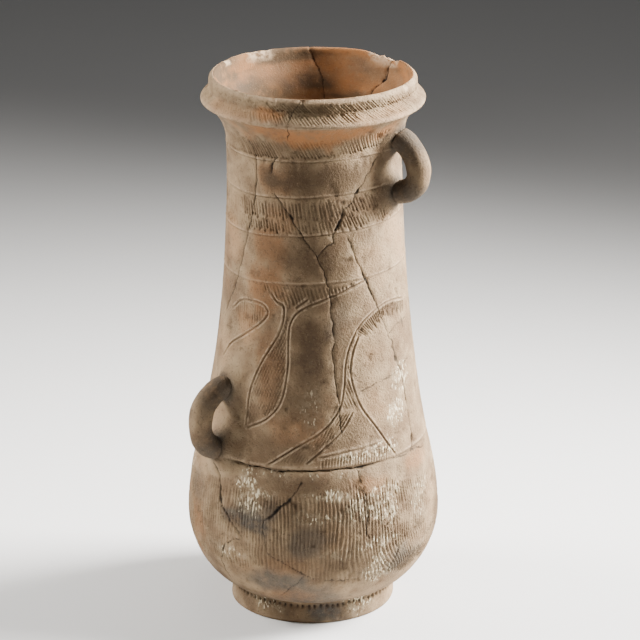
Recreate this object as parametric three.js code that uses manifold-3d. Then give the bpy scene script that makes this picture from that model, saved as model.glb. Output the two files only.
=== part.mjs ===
// A tall hand-built earthenware jar: low ring foot, round cord-marked belly, long tapering body with incised
// figures, a waisted neck that flares to a rounded collar and an everted lip, and two loop handles at
// different levels on opposite sides. It was fired in one piece, so it is one solid, hollow and open at the top.
// Millimetres, +Z up. The origin is on the ground under the belly's centre. Azimuth 0 is the side towards -Y and
// 90 the side towards +X.
import * as THREE from "three";
import { mergeVertices } from "three/addons/utils/BufferGeometryUtils.js";
import Module from "manifold-3d";

const wasm = await Module();
wasm.setup();

// Heights of the zones, stacked from the ground up.
const FOOT_HEIGHT = 18;
const LOWER_BELLY_HEIGHT = 57;
const UPPER_BELLY_HEIGHT = 60;
const FIGURE_ZONE_HEIGHT = 142;
const PLAIN_ZONE_HEIGHT = 36;
const HATCHED_ZONE_HEIGHT = 29;
const NECK_ZONE_HEIGHT = 27;
const FLARE_HEIGHT = 30;
const COLLAR_HEIGHT = 9;
const LIP_HEIGHT = 11.5;

// Outer radii.
const FOOT_RADIUS = 62.6;
const BELLY_RADIUS = 96.5;
const SHOULDER_RADIUS = 87.2;
const NECK_RADIUS = 65.5;
const FLARE_RADIUS = 80;
const COLLAR_RADIUS = 83.6;
const GROOVE_RADIUS = 76.8;
const LIP_RADIUS = 77.5;

// Walls, and the hollow under the foot.
const WALL = 7.5;
const LIP_WALL = 5.2;
const FLOOR_THICKNESS = 12;
const FLOOR_RADIUS = 34;
const FOOT_RECESS = 7;
const FOOT_RING_WIDTH = 13;
const FOOT_RING_BATTER = 3;
const FOOT_EDGE = 1;

// How far the hand-built axis strays from upright.
const FOOT_OFFSET = -1.2;
const BODY_SWAY = 1.7;

// The two loop handles, rolled from like coils of clay. The reach is from the wall to the loop's outer side.
const COIL_THICKNESS = 17.5;
const COIL_WIDTH = 17.5;
const ROOT_FLARE = 1.35;
const UPPER_AZIMUTH = 61;
const UPPER_LOOP_HEIGHT = 60;
const UPPER_LOOP_REACH = 31.5;
const UPPER_DROP_FROM_NECK = 10.5;
const LOWER_AZIMUTH = -55;
const LOWER_LOOP_HEIGHT = 65;
const LOWER_LOOP_REACH = 32;
const LOWER_RISE_FROM_SHOULDER = 29.5;
// Where each loop stands out most, as a share of its height from below.
const UPPER_PEAK = 0.4;
const LOWER_PEAK = 0.6;

// Incised work.
const RING_WIDTH = 2;
const RING_DEPTH = 1;
const STROKE_WIDTH = 2.2;
const STROKE_DEPTH = 1.1;
const PRICK_PITCH = 4.6;
const PRICK_WIDTH = 2.6;
const PRICK_HEIGHT = 3.4;
const PRICK_DEPTH = 1.4;

// Wear on the rim.
const LONG_CHIP_LENGTH = 42;
const SHORT_CHIP_LENGTH = 26;
const CHIP_DEPTH = 2.2;
const NOTCH_LENGTH = 8;
const NOTCH_DEPTH = 3;

// Fineness of the facets.
const ROUND_SEGMENTS = 48;
const STROKE_STEP = 11;
const COIL_STEPS = 14;
const COIL_SIDES = 12;

// Levels that follow from the zones.
const WIDEST_LEVEL = FOOT_HEIGHT + LOWER_BELLY_HEIGHT;
const SHOULDER_LEVEL = WIDEST_LEVEL + UPPER_BELLY_HEIGHT;
const FIGURE_TOP = SHOULDER_LEVEL + FIGURE_ZONE_HEIGHT;
const HATCH_BOTTOM = FIGURE_TOP + PLAIN_ZONE_HEIGHT;
const HATCH_TOP = HATCH_BOTTOM + HATCHED_ZONE_HEIGHT;
const NECK_LEVEL = HATCH_TOP + NECK_ZONE_HEIGHT;
const COLLAR_LEVEL = NECK_LEVEL + FLARE_HEIGHT;
const GROOVE_LEVEL = COLLAR_LEVEL + COLLAR_HEIGHT;
const RIM_LEVEL = GROOVE_LEVEL + LIP_HEIGHT;
const FLOOR_LEVEL = FOOT_RECESS + FLOOR_THICKNESS;

const { lerp, degToRad: radians, smoothstep } = THREE.MathUtils;

// A profile point.
function at(radius, level) {
  return new THREE.Vector2(radius, level);
}

// Even steps from one value to another, both ends included.
function steps(from, to, count) {
  return Array.from({ length: count + 1 }, (_, i) => lerp(from, to, i / count));
}

// Even steps strictly between two values.
function between(from, to, count) {
  return steps(from, to, count + 1).slice(1, -1);
}

// The belly below its widest level: a full curve that tucks in sharply at the foot.
function lowerBellyRadius(level) {
  const drop = (WIDEST_LEVEL - level) / LOWER_BELLY_HEIGHT;
  return lerp(BELLY_RADIUS, FOOT_RADIUS, 1 - (1 - drop ** 2) ** 0.72);
}

// The belly above its widest level, easing towards the shoulder line.
function upperBellyRadius(level) {
  const rise = (level - WIDEST_LEVEL) / UPPER_BELLY_HEIGHT;
  return lerp(BELLY_RADIUS, SHOULDER_RADIUS, rise ** 1.7);
}

// The long body: a hollow taper, quick above the shoulder and nearly upright at the neck.
function bodyRadius(level) {
  const share = (NECK_LEVEL - level) / (NECK_LEVEL - SHOULDER_LEVEL);
  const taper = 0.42 * share ** 1.5 + 0.58 * share ** 3;
  return lerp(NECK_RADIUS, SHOULDER_RADIUS, taper);
}

// The neck flaring out to the underside of the collar.
function flareRadius(level) {
  const rise = (level - NECK_LEVEL) / FLARE_HEIGHT;
  return lerp(NECK_RADIUS, FLARE_RADIUS, rise ** 2.3);
}

// The smooth outer wall between foot and collar, without its incised rings.
function wallRadius(level) {
  if (level <= FOOT_HEIGHT) return FOOT_RADIUS;
  if (level < WIDEST_LEVEL) return lowerBellyRadius(level);
  if (level < SHOULDER_LEVEL) return upperBellyRadius(level);
  if (level < NECK_LEVEL) return bodyRadius(level);
  return flareRadius(Math.min(level, COLLAR_LEVEL));
}

// How far the ring at this level stands off the jar's axis, along X.
function sway(level) {
  const foot = FOOT_OFFSET * (1 - smoothstep(level, FOOT_HEIGHT, WIDEST_LEVEL));
  const rise = THREE.MathUtils.clamp((level - SHOULDER_LEVEL) / (NECK_LEVEL - SHOULDER_LEVEL), 0, 1);
  return foot + BODY_SWAY * Math.sin(Math.PI * rise);
}

// A point at this azimuth and distance from the swayed axis.
function around(azimuth, radius, level) {
  const angle = radians(azimuth);
  return new THREE.Vector3(sway(level) + radius * Math.sin(angle), -radius * Math.cos(angle), level);
}

// A point on the outer wall.
function onWall(azimuth, level) {
  return around(azimuth, wallRadius(level), level);
}

// The wall's outward normal, from two tangents.
function wallNormal(azimuth, level) {
  const sideways = onWall(azimuth + 1, level).sub(onWall(azimuth - 1, level));
  const up = onWall(azimuth, level + 1).sub(onWall(azimuth, level - 1));
  return sideways.cross(up).normalize();
}

// The hollow under the foot, from its middle out to the ring that the jar stands on.
function undersideProfile() {
  const ringInside = FOOT_RADIUS - FOOT_RING_WIDTH;
  return [
    at(0, FOOT_RECESS),
    at(ringInside - FOOT_RING_BATTER, FOOT_RECESS),
    at(ringInside, 0),
    at(FOOT_RADIUS - FOOT_EDGE, 0),
    at(FOOT_RADIUS, FOOT_EDGE),
    at(FOOT_RADIUS, FOOT_HEIGHT),
  ];
}

// The outer wall from the foot to the collar, with a V cut at each incised ring.
function wallProfile() {
  const tuckTop = FOOT_HEIGHT + LOWER_BELLY_HEIGHT / 6;
  const smooth = [
    ...between(FOOT_HEIGHT, tuckTop, 1),
    ...steps(tuckTop, WIDEST_LEVEL, 4),
    ...between(WIDEST_LEVEL, SHOULDER_LEVEL, 2),
    ...between(SHOULDER_LEVEL, FIGURE_TOP, 4),
    ...between(FIGURE_TOP, HATCH_BOTTOM, 1),
    ...between(HATCH_BOTTOM, HATCH_TOP, 1),
    ...between(NECK_LEVEL, COLLAR_LEVEL, 3),
    COLLAR_LEVEL,
  ].map((level) => at(wallRadius(level), level));
  const rings = [SHOULDER_LEVEL, FIGURE_TOP, HATCH_BOTTOM, HATCH_TOP, NECK_LEVEL].flatMap((level) => {
    const below = level - RING_WIDTH / 2;
    const above = level + RING_WIDTH / 2;
    return [
      at(wallRadius(below), below),
      at(wallRadius(level) - RING_DEPTH, level),
      at(wallRadius(above), above),
    ];
  });
  return [...smooth, ...rings].sort((a, b) => a.y - b.y);
}

// The rounded collar, the groove above it and the everted lip.
function rimProfile() {
  const swell = COLLAR_RADIUS - FLARE_RADIUS;
  const drawIn = COLLAR_RADIUS - GROOVE_RADIUS;
  return [
    at(FLARE_RADIUS + swell * 0.85, COLLAR_LEVEL + COLLAR_HEIGHT * 0.1),
    at(COLLAR_RADIUS, COLLAR_LEVEL + COLLAR_HEIGHT * 0.32),
    at(COLLAR_RADIUS - drawIn * 0.35, COLLAR_LEVEL + COLLAR_HEIGHT * 0.65),
    at(GROOVE_RADIUS, GROOVE_LEVEL),
    at(LIP_RADIUS, GROOVE_LEVEL + LIP_HEIGHT * 0.3),
    at(LIP_RADIUS - LIP_WALL * 0.05, RIM_LEVEL - LIP_WALL * 0.6),
    at(LIP_RADIUS - LIP_WALL * 0.3, RIM_LEVEL - LIP_WALL * 0.2),
    at(LIP_RADIUS - LIP_WALL * 0.65, RIM_LEVEL),
    at(LIP_RADIUS - LIP_WALL, RIM_LEVEL - LIP_WALL * 0.3),
  ];
}

// The inside, from below the lip down to the middle of the floor.
function innerProfile() {
  const lipInside = LIP_RADIUS - LIP_WALL;
  const neckInside = NECK_RADIUS - WALL;
  const throat = steps(GROOVE_LEVEL, NECK_LEVEL, 3).map((level) =>
    at(lerp(neckInside, lipInside, smoothstep(level, NECK_LEVEL, RIM_LEVEL)), level),
  );
  const shaft = [...between(NECK_LEVEL, SHOULDER_LEVEL, 4), SHOULDER_LEVEL, WIDEST_LEVEL];
  const body = shaft.map((level) => at(wallRadius(level) - WALL, level));
  const bowl = between(0, Math.PI / 2, 4).map((angle) =>
    at(
      lerp(FLOOR_RADIUS, BELLY_RADIUS - WALL, Math.cos(angle) ** 0.8),
      lerp(WIDEST_LEVEL, FLOOR_LEVEL, Math.sin(angle)),
    ),
  );
  return [...throat, ...body, ...bowl, at(FLOOR_RADIUS, FLOOR_LEVEL), at(0, FLOOR_LEVEL)];
}

// A closed three.js geometry as a manifold solid.
function solidOf(geometry) {
  const bare = geometry.clone();
  bare.deleteAttribute("normal");
  bare.deleteAttribute("uv");
  const merged = mergeVertices(bare, 1e-4);
  const corners = [];
  for (let i = 0; i < merged.index.count; i += 3) {
    const [a, b, c] = [0, 1, 2].map((k) => merged.index.getX(i + k));
    if (a !== b && b !== c && c !== a) corners.push(a, b, c);
  }
  return new wasm.Manifold(
    new wasm.Mesh({
      numProp: 3,
      vertProperties: new Float32Array(merged.attributes.position.array),
      triVerts: new Uint32Array(corners),
    }),
  );
}

// A manifold solid as a three.js geometry.
function geometryOf(solid) {
  const mesh = solid.getMesh();
  const geometry = new THREE.BufferGeometry();
  geometry.setAttribute("position", new THREE.BufferAttribute(mesh.vertProperties, 3));
  geometry.setIndex(new THREE.BufferAttribute(mesh.triVerts, 1));
  geometry.computeVertexNormals();
  return geometry;
}

// Joins like rings of points into a closed solid with flat ends, its faces turned out.
function loft(rings) {
  const sides = rings[0].length;
  const index = [];
  for (let r = 0; r + 1 < rings.length; r++) {
    for (let s = 0; s < sides; s++) {
      const a = r * sides + s;
      const b = r * sides + ((s + 1) % sides);
      index.push(a, b, b + sides, a, b + sides, a + sides);
    }
  }
  const last = (rings.length - 1) * sides;
  for (let s = 1; s + 1 < sides; s++) {
    index.push(0, s + 1, s, last, last + s, last + s + 1);
  }
  const geometry = new THREE.BufferGeometry();
  geometry.setAttribute("position", new THREE.Float32BufferAttribute(rings.flat().flatMap((p) => [...p]), 3));
  geometry.setIndex(index);
  const solid = solidOf(geometry);
  return solid.volume() > 0 ? solid : loft([...rings].reverse());
}

// The hollow jar turned about its axis, then swayed level by level.
function turnedJar() {
  const profile = [...undersideProfile(), ...wallProfile(), ...rimProfile(), ...innerProfile()];
  const geometry = new THREE.LatheGeometry(profile, ROUND_SEGMENTS);
  geometry.rotateX(Math.PI / 2);
  const positions = geometry.getAttribute("position");
  for (let i = 0; i < positions.count; i++) {
    positions.setX(i, positions.getX(i) + sway(positions.getZ(i)));
  }
  return solidOf(geometry);
}

// A loop handle: a coil of clay bent in a radial plane, thicker where it is smeared onto the wall.
function handle(azimuth, middle, height, reach, peak) {
  const span = height - COIL_THICKNESS;
  const bottom = middle - span / 2;
  const peakLevel = bottom + span * peak;
  const bury = WALL / 2;
  const standOff = reach - COIL_THICKNESS / 2 + bury;
  const centreLine = steps(-1, 1, COIL_STEPS).map((share) => {
    const bend = (share * Math.PI) / 2;
    const limb = share > 0 ? span * (1 - peak) : span * peak;
    const level = peakLevel + limb * Math.sin(bend);
    const out = standOff * Math.cos(bend) ** 0.9 - bury;
    return around(azimuth, wallRadius(level) + out, level);
  });
  const across = new THREE.Vector3(Math.cos(radians(azimuth)), Math.sin(radians(azimuth)), 0);
  const rings = centreLine.map((centre, i) => {
    const ahead = centreLine[Math.min(i + 1, COIL_STEPS)];
    const behind = centreLine[Math.max(i - 1, 0)];
    const normal = across.clone().cross(ahead.clone().sub(behind)).normalize();
    const toRoot = Math.abs((2 * i) / COIL_STEPS - 1);
    const swell = lerp(1, ROOT_FLARE, toRoot ** 4) / 2;
    return steps(0, 2 * Math.PI, COIL_SIDES)
      .slice(1)
      .map((turn) =>
        centre
          .clone()
          .addScaledVector(normal, COIL_THICKNESS * swell * Math.cos(turn))
          .addScaledVector(across, COIL_WIDTH * swell * Math.sin(turn)),
      );
  });
  return loft(rings);
}

// A V-shaped tool that follows a stroke drawn on the wall.
// The knots are pairs of an azimuth in degrees and a share of the figure zone's height.
function strokeTool(knots) {
  const curve = new THREE.SplineCurve(
    knots.map(([azimuth, share]) => new THREE.Vector2(azimuth, SHOULDER_LEVEL + share * FIGURE_ZONE_HEIGHT)),
  );
  const length = curve
    .getPoints(knots.length * 4)
    .map((p) => onWall(p.x, p.y))
    .reduce((sum, p, i, all) => sum + (i > 0 ? p.distanceTo(all[i - 1]) : 0), 0);
  const count = Math.round(length / STROKE_STEP);
  const spots = steps(0, 1, count).map((share) => curve.getPointAt(share));
  // The tool stands proud of the wall by as much as it cuts in, so that it is twice the stroke's width there.
  const rings = spots.map((spot, i) => {
    const next = spots[Math.min(i + 1, count)];
    const last = spots[Math.max(i - 1, 0)];
    const along = onWall(next.x, next.y).sub(onWall(last.x, last.y)).normalize();
    const normal = wallNormal(spot.x, spot.y);
    const side = along.clone().cross(normal).normalize();
    const foot = onWall(spot.x, spot.y);
    const proud = foot.clone().addScaledVector(normal, STROKE_DEPTH);
    return [
      foot.clone().addScaledVector(normal, -STROKE_DEPTH),
      proud.clone().addScaledVector(side, STROKE_WIDTH),
      proud.clone().addScaledVector(side, -STROKE_WIDTH),
    ];
  });
  return loft(rings);
}

// The figures on the front: a long leaf hung from the top ring, a hooked curl beside it, and an arch on two
// splayed legs that stand on the shoulder line.
const LEAF = [
  [[32, 0.99], [9, 0.925], [-9, 0.855], [-15, 0.78], [-16, 0.56], [-20, 0.33], [-37, 0.19]],
  [[-31, 0.965], [-24, 0.895], [-19.5, 0.86], [-22, 0.73], [-33, 0.54], [-39, 0.34], [-38.5, 0.2]],
];
const CURL = [[[-66, 0.51], [-54, 0.635], [-35, 0.76], [-30, 0.825], [-36, 0.865], [-52, 0.855], [-60, 0.79]]];
const ARCH = [
  [[69, 0.82], [50, 0.848], [34, 0.79], [22, 0.66], [17.5, 0.55], [17, 0.44], [11, 0.27], [-2, 0.165], [-24, 0.015]],
  [[27, 0.71], [21, 0.57], [21, 0.46], [27, 0.31], [37, 0.15], [46, 0.02]],
  [[21, 0.31], [12, 0.17], [-3, 0.045]],
  [[3, 0.075], [20, 0.1], [38, 0.115]],
];
// A plainer arch fills the back.
const BACK_ARCH = [
  [[118, 0.02], [140, 0.16], [153, 0.31], [161, 0.55], [176, 0.82], [200, 0.84], [222, 0.7]],
  [[208, 0.02], [190, 0.16], [178, 0.31], [172, 0.5], [183, 0.7]],
];

// One row of pricks round the foot, just under its joint with the belly.
function prickTools() {
  const count = Math.round((2 * Math.PI * FOOT_RADIUS) / PRICK_PITCH);
  const level = FOOT_HEIGHT - PRICK_HEIGHT;
  const prick = new THREE.ConeGeometry(PRICK_WIDTH, 2 * PRICK_DEPTH, 3);
  prick.scale(1, 1, PRICK_HEIGHT / PRICK_WIDTH);
  return steps(0, 360, count)
    .slice(1)
    .map((azimuth) => {
      const tool = prick.clone();
      const spot = onWall(azimuth, level);
      tool.rotateZ(radians(azimuth));
      tool.translate(spot.x, spot.y, spot.z);
      return solidOf(tool);
    });
}

// A worn hollow across the rim, as a squashed ball.
function chipTool(azimuth, length, depth) {
  const ball = new THREE.SphereGeometry(1, 10, 6);
  const spot = around(azimuth, LIP_RADIUS - LIP_WALL / 2, RIM_LEVEL);
  ball.scale(length / 2, LIP_WALL * 1.6, depth);
  ball.rotateZ(radians(azimuth));
  ball.translate(spot.x, spot.y, spot.z);
  return solidOf(ball);
}

const cuts = [
  ...[...LEAF, ...CURL, ...ARCH, ...BACK_ARCH].map(strokeTool),
  ...prickTools(),
  chipTool(133, LONG_CHIP_LENGTH, CHIP_DEPTH),
  chipTool(-146, SHORT_CHIP_LENGTH, CHIP_DEPTH / 2),
  chipTool(122, NOTCH_LENGTH, NOTCH_DEPTH),
];
const upperMiddle = NECK_LEVEL - UPPER_DROP_FROM_NECK;
const lowerMiddle = SHOULDER_LEVEL + LOWER_RISE_FROM_SHOULDER;
const jarSolid = wasm.Manifold.union([
  turnedJar().subtract(wasm.Manifold.union(cuts)),
  handle(UPPER_AZIMUTH, upperMiddle, UPPER_LOOP_HEIGHT, UPPER_LOOP_REACH, UPPER_PEAK),
  handle(LOWER_AZIMUTH, lowerMiddle, LOWER_LOOP_HEIGHT, LOWER_LOOP_REACH, LOWER_PEAK),
]);

const earthenware = new THREE.MeshStandardMaterial({
  color: new THREE.Color(0.47, 0.34, 0.24),
  roughness: 0.88,
  metalness: 0,
});
const jar = new THREE.Mesh(geometryOf(jarSolid), earthenware);
jar.name = "jar";

const root = new THREE.Group();
root.add(jar);

export default root;
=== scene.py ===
"""A tall ancient earthenware jar with cord marks, incised figures, old glued breaks and two loop handles."""
import logging
import math
from dataclasses import dataclass
from enum import Enum

import bpy
import numpy as np
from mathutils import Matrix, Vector


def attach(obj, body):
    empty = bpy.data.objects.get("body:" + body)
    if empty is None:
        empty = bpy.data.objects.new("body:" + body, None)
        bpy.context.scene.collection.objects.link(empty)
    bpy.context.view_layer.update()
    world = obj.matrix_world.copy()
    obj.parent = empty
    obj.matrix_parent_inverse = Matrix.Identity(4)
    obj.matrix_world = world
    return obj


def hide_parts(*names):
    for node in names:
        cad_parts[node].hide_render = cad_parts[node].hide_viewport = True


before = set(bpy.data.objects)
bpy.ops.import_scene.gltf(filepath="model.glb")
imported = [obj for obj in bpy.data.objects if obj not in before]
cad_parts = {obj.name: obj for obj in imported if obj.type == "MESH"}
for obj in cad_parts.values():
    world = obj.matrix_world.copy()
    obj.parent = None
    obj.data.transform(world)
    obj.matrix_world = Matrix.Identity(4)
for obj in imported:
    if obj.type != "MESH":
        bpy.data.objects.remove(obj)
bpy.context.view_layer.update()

MM = 0.001
LOG = logging.getLogger("jar")


def ease(low: float, high: float, value: np.ndarray) -> np.ndarray:
    """A smooth step from 0 at low to 1 at high.

    Args:
        low: value that gives 0.
        high: value that gives 1.
        value: the values to ease.

    Returns:
        The eased values, between 0 and 1.
    """
    share = np.clip((value - low) / (high - low), 0.0, 1.0)
    return share * share * (3.0 - 2.0 * share)


def bell(distance: np.ndarray, width: float) -> np.ndarray:
    """A soft bump that is 1 at no distance and near 0 beyond twice the width."""
    return np.exp(-((distance / width) ** 2))


def notch(distance: np.ndarray, half_width: float) -> np.ndarray:
    """A sharp furrow that is 1 at no distance and 0 from its half width on."""
    return np.clip(1.0 - np.abs(distance) / half_width, 0.0, 1.0)


def turn_between(azimuth: np.ndarray, centre: float) -> np.ndarray:
    """Azimuths rewritten so that they run on smoothly round the given centre, in degrees."""
    return (azimuth - centre + 180.0) % 360.0 - 180.0 + centre


@dataclass(frozen=True)
class Noise:
    """Smooth lattice noise that is the same on every run."""

    seed: int
    cells: int = 48

    def at(self, places: np.ndarray, grain: float, octaves: int = 1) -> np.ndarray:
        """Noise between about -1 and 1.

        Args:
            places: points, one row each, in millimetres.
            grain: size of the largest blobs, in millimetres.
            octaves: how many layers, each half the size and half the strength of the last.

        Returns:
            One value for each point.
        """
        lattice = np.random.default_rng(self.seed).uniform(-1.0, 1.0, self.cells**3)
        total = np.zeros(len(places))
        for octave in range(octaves):
            cell = places.T * (2.0**octave / grain) + 7.3 * octave
            base = np.floor(cell)
            part = cell - base
            part = part * part * (3.0 - 2.0 * part)
            low = base.astype(np.int64) % self.cells
            index = (low, (low + 1) % self.cells)
            weight = (1.0 - part, part)
            for x, y, z in np.ndindex(2, 2, 2):
                place = (index[x][0] * self.cells + index[y][1]) * self.cells + index[z][2]
                total += 0.5**octave * weight[x][0] * weight[y][1] * weight[z][2] * lattice[place]
        return total


@dataclass(frozen=True)
class Outline:
    """The jar's profile in millimetres: heights of its zones from the ground up, outer radii and walls."""

    foot_height: float = 18.0
    lower_belly: float = 57.0
    upper_belly: float = 60.0
    figure_zone: float = 142.0
    plain_zone: float = 36.0
    hatched_zone: float = 29.0
    neck_zone: float = 27.0
    flare: float = 30.0
    collar: float = 9.0
    lip: float = 11.5
    foot_radius: float = 62.6
    belly_radius: float = 96.5
    shoulder_radius: float = 87.2
    neck_radius: float = 65.5
    flare_radius: float = 80.0
    collar_radius: float = 83.6
    groove_radius: float = 77.5
    lip_radius: float = 77.5
    wall: float = 7.5
    lip_wall: float = 5.2
    floor_thickness: float = 12.0
    floor_radius: float = 34.0
    foot_recess: float = 7.0
    foot_ring: float = 13.0
    foot_batter: float = 3.0
    foot_offset: float = -1.2
    body_sway: float = 1.7
    row: float = 0.95
    fine_row: float = 0.5
    figure_row: float = 0.8
    fine_reach: float = 5.5
    throat_row: float = 1.0
    throat_depth: float = 56.0
    inner_row: float = 5.0

    @property
    def widest(self) -> float:
        """Level of the widest part of the belly."""
        return self.foot_height + self.lower_belly

    @property
    def shoulder(self) -> float:
        """Level of the groove between belly and body."""
        return self.widest + self.upper_belly

    @property
    def figure_top(self) -> float:
        """Level of the ring over the figures."""
        return self.shoulder + self.figure_zone

    @property
    def hatch_bottom(self) -> float:
        """Level of the ring under the hatched band."""
        return self.figure_top + self.plain_zone

    @property
    def hatch_top(self) -> float:
        """Level of the ring over the hatched band."""
        return self.hatch_bottom + self.hatched_zone

    @property
    def neck(self) -> float:
        """Level of the narrowest part of the neck."""
        return self.hatch_top + self.neck_zone

    @property
    def collar_bottom(self) -> float:
        """Level of the collar's lower edge."""
        return self.neck + self.flare

    @property
    def groove(self) -> float:
        """Level of the groove between collar and lip."""
        return self.collar_bottom + self.collar

    @property
    def rim(self) -> float:
        """Level of the lip's crest."""
        return self.groove + self.lip

    def wall_radius(self, level: np.ndarray) -> np.ndarray:
        """Outer radius between foot and collar.

        Args:
            level: heights in millimetres.

        Returns:
            The radius at each height, in millimetres.
        """
        level = np.asarray(level, float)
        drop = np.clip((self.widest - level) / self.lower_belly, 0.0, 1.0)
        under = self.belly_radius + (self.foot_radius - self.belly_radius) * (1.0 - (1.0 - drop**2) ** 0.72)
        rise = np.clip((level - self.widest) / self.upper_belly, 0.0, 1.0)
        upper = self.belly_radius + (self.shoulder_radius - self.belly_radius) * rise**1.7
        share = np.clip((self.neck - level) / (self.neck - self.shoulder), 0.0, 1.0)
        taper = 0.42 * share**1.5 + 0.58 * share**3
        body = self.neck_radius + (self.shoulder_radius - self.neck_radius) * taper
        out = np.clip((level - self.neck) / self.flare, 0.0, 1.0)
        flared = self.neck_radius + (self.flare_radius - self.neck_radius) * out**2.3
        radius = np.where(level < self.widest, under, upper)
        radius = np.where(level >= self.shoulder, body, radius)
        return np.where(level >= self.neck, flared, radius)

    def sway(self, level: np.ndarray) -> np.ndarray:
        """How far the ring at each level stands off the jar's axis, along X, in millimetres.

        Args:
            level: heights in millimetres.

        Returns:
            The offset at each height.
        """
        foot = self.foot_offset * (1.0 - ease(self.foot_height, self.widest, np.asarray(level, float)))
        rise = np.clip((level - self.shoulder) / (self.neck - self.shoulder), 0.0, 1.0)
        return foot + self.body_sway * np.sin(math.pi * rise)

    def outer_points(self) -> list[tuple[float, float]]:
        """Profile points (radius, level) from the underside's middle, over foot and wall, to the lip's crest.

        Returns:
            The points, in millimetres.
        """
        inside = self.foot_radius - self.foot_ring
        hollow = [(radius, self.foot_recess) for radius in np.arange(0.0, inside - self.foot_batter, 6.0)]
        base = [
            (inside - self.foot_batter - 1.0, self.foot_recess - 0.4),
            (inside - self.foot_batter * 0.4, 3.0),
            (inside, 0.0),
            (inside + self.foot_ring / 2, 0.0),
            (self.foot_radius - 1.4, 0.0),
            (self.foot_radius - 0.3, 0.5),
        ]
        foot = [(self.foot_radius, level) for level in np.arange(1.5, self.foot_height, self.row)]
        levels = self.wall_levels()
        wall = list(zip(self.wall_radius(levels), levels))
        return hollow + base + foot + wall + self.rim_points()

    def wall_levels(self) -> np.ndarray:
        """Levels of the wall's rows, closer together where the rings are scored.

        Returns:
            The levels, in millimetres.
        """
        scored = np.array([self.shoulder, self.figure_top, self.hatch_bottom, self.hatch_top, self.neck])
        levels = [self.foot_height + self.row / 2]
        while levels[-1] < self.collar_bottom - self.row:
            step = self.figure_row if self.shoulder < levels[-1] < self.figure_top else self.row
            if np.abs(scored - levels[-1]).min() < self.fine_reach:
                step = self.fine_row
            levels.append(levels[-1] + step)
        return np.array(levels)

    def rim_points(self) -> list[tuple[float, float]]:
        """Profile points of collar, groove and lip, as a smooth curve through a few named places.

        Returns:
            The points (radius, level), in millimetres.
        """
        swell = self.collar_radius - self.flare_radius
        draw_in = self.collar_radius - self.groove_radius
        thick = self.lip_wall
        knots = [
            (self.flare_radius + swell * 0.3, self.collar_bottom - 0.2),
            (self.flare_radius + swell * 0.85, self.collar_bottom + self.collar * 0.08),
            (self.collar_radius, self.collar_bottom + self.collar * 0.32),
            (self.collar_radius - draw_in * 0.35, self.collar_bottom + self.collar * 0.65),
            (self.groove_radius, self.groove),
            (self.lip_radius, self.groove + self.lip * 0.3),
            (self.lip_radius - thick * 0.05, self.rim - thick * 0.6),
            (self.lip_radius - thick * 0.3, self.rim - thick * 0.2),
            (self.lip_radius - thick * 0.65, self.rim),
            (self.lip_radius - thick, self.rim - thick * 0.3),
        ]
        return [tuple(point) for point in flowing(knots, 6)]

    def inner_points(self) -> list[tuple[float, float]]:
        """Profile points (radius, level) from below the lip down to the middle of the floor.

        Returns:
            The points, in millimetres.
        """
        lip_inside = self.lip_radius - self.lip_wall
        neck_inside = self.neck_radius - self.wall
        high = np.arange(self.rim - 3.0, self.rim - self.throat_depth, -self.throat_row)
        throat = neck_inside + (lip_inside - neck_inside) * ease(self.neck, self.rim, high)
        shaft = np.arange(self.rim - self.throat_depth - self.inner_row, self.widest, -self.inner_row)
        turn = np.linspace(0.0, math.pi / 2, 14)
        bowl_span = self.belly_radius - self.wall - self.floor_radius
        bowl_radius = self.floor_radius + bowl_span * np.cos(turn) ** 0.8
        floor_level = self.foot_recess + self.floor_thickness
        bowl_level = self.widest + (floor_level - self.widest) * np.sin(turn)
        floor = [(radius, floor_level) for radius in np.arange(self.floor_radius - 6.0, 0.0, -7.0)]
        return [
            *zip(throat, high),
            *zip(self.wall_radius(shaft) - self.wall, shaft),
            *zip(bowl_radius, bowl_level),
            *floor,
            (0.0, floor_level),
        ]


def flowing(knots: list[tuple[float, float]], spans: int) -> np.ndarray:
    """A smooth curve through every knot.

    Args:
        knots: points that the curve passes through.
        spans: pieces between one knot and the next.

    Returns:
        The curve's points, one row each.
    """
    points = np.array(knots, float)
    before = np.vstack([2 * points[0] - points[1], points[:-1]])
    after = np.vstack([points[1:], 2 * points[-1] - points[-2]])
    tangent = (after - before) / 2.0
    share = np.linspace(0.0, 1.0, spans, endpoint=False)[:, None]
    pieces = []
    for start, end, leave, arrive in zip(points[:-1], points[1:], tangent[:-1], tangent[1:]):
        blend = 3 * share**2 - 2 * share**3
        pieces.append(
            start * (1 - blend)
            + end * blend
            + leave * (share - 2 * share**2 + share**3)
            + arrive * (share**3 - share**2)
        )
    return np.vstack([*pieces, points[-1:]])


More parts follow.
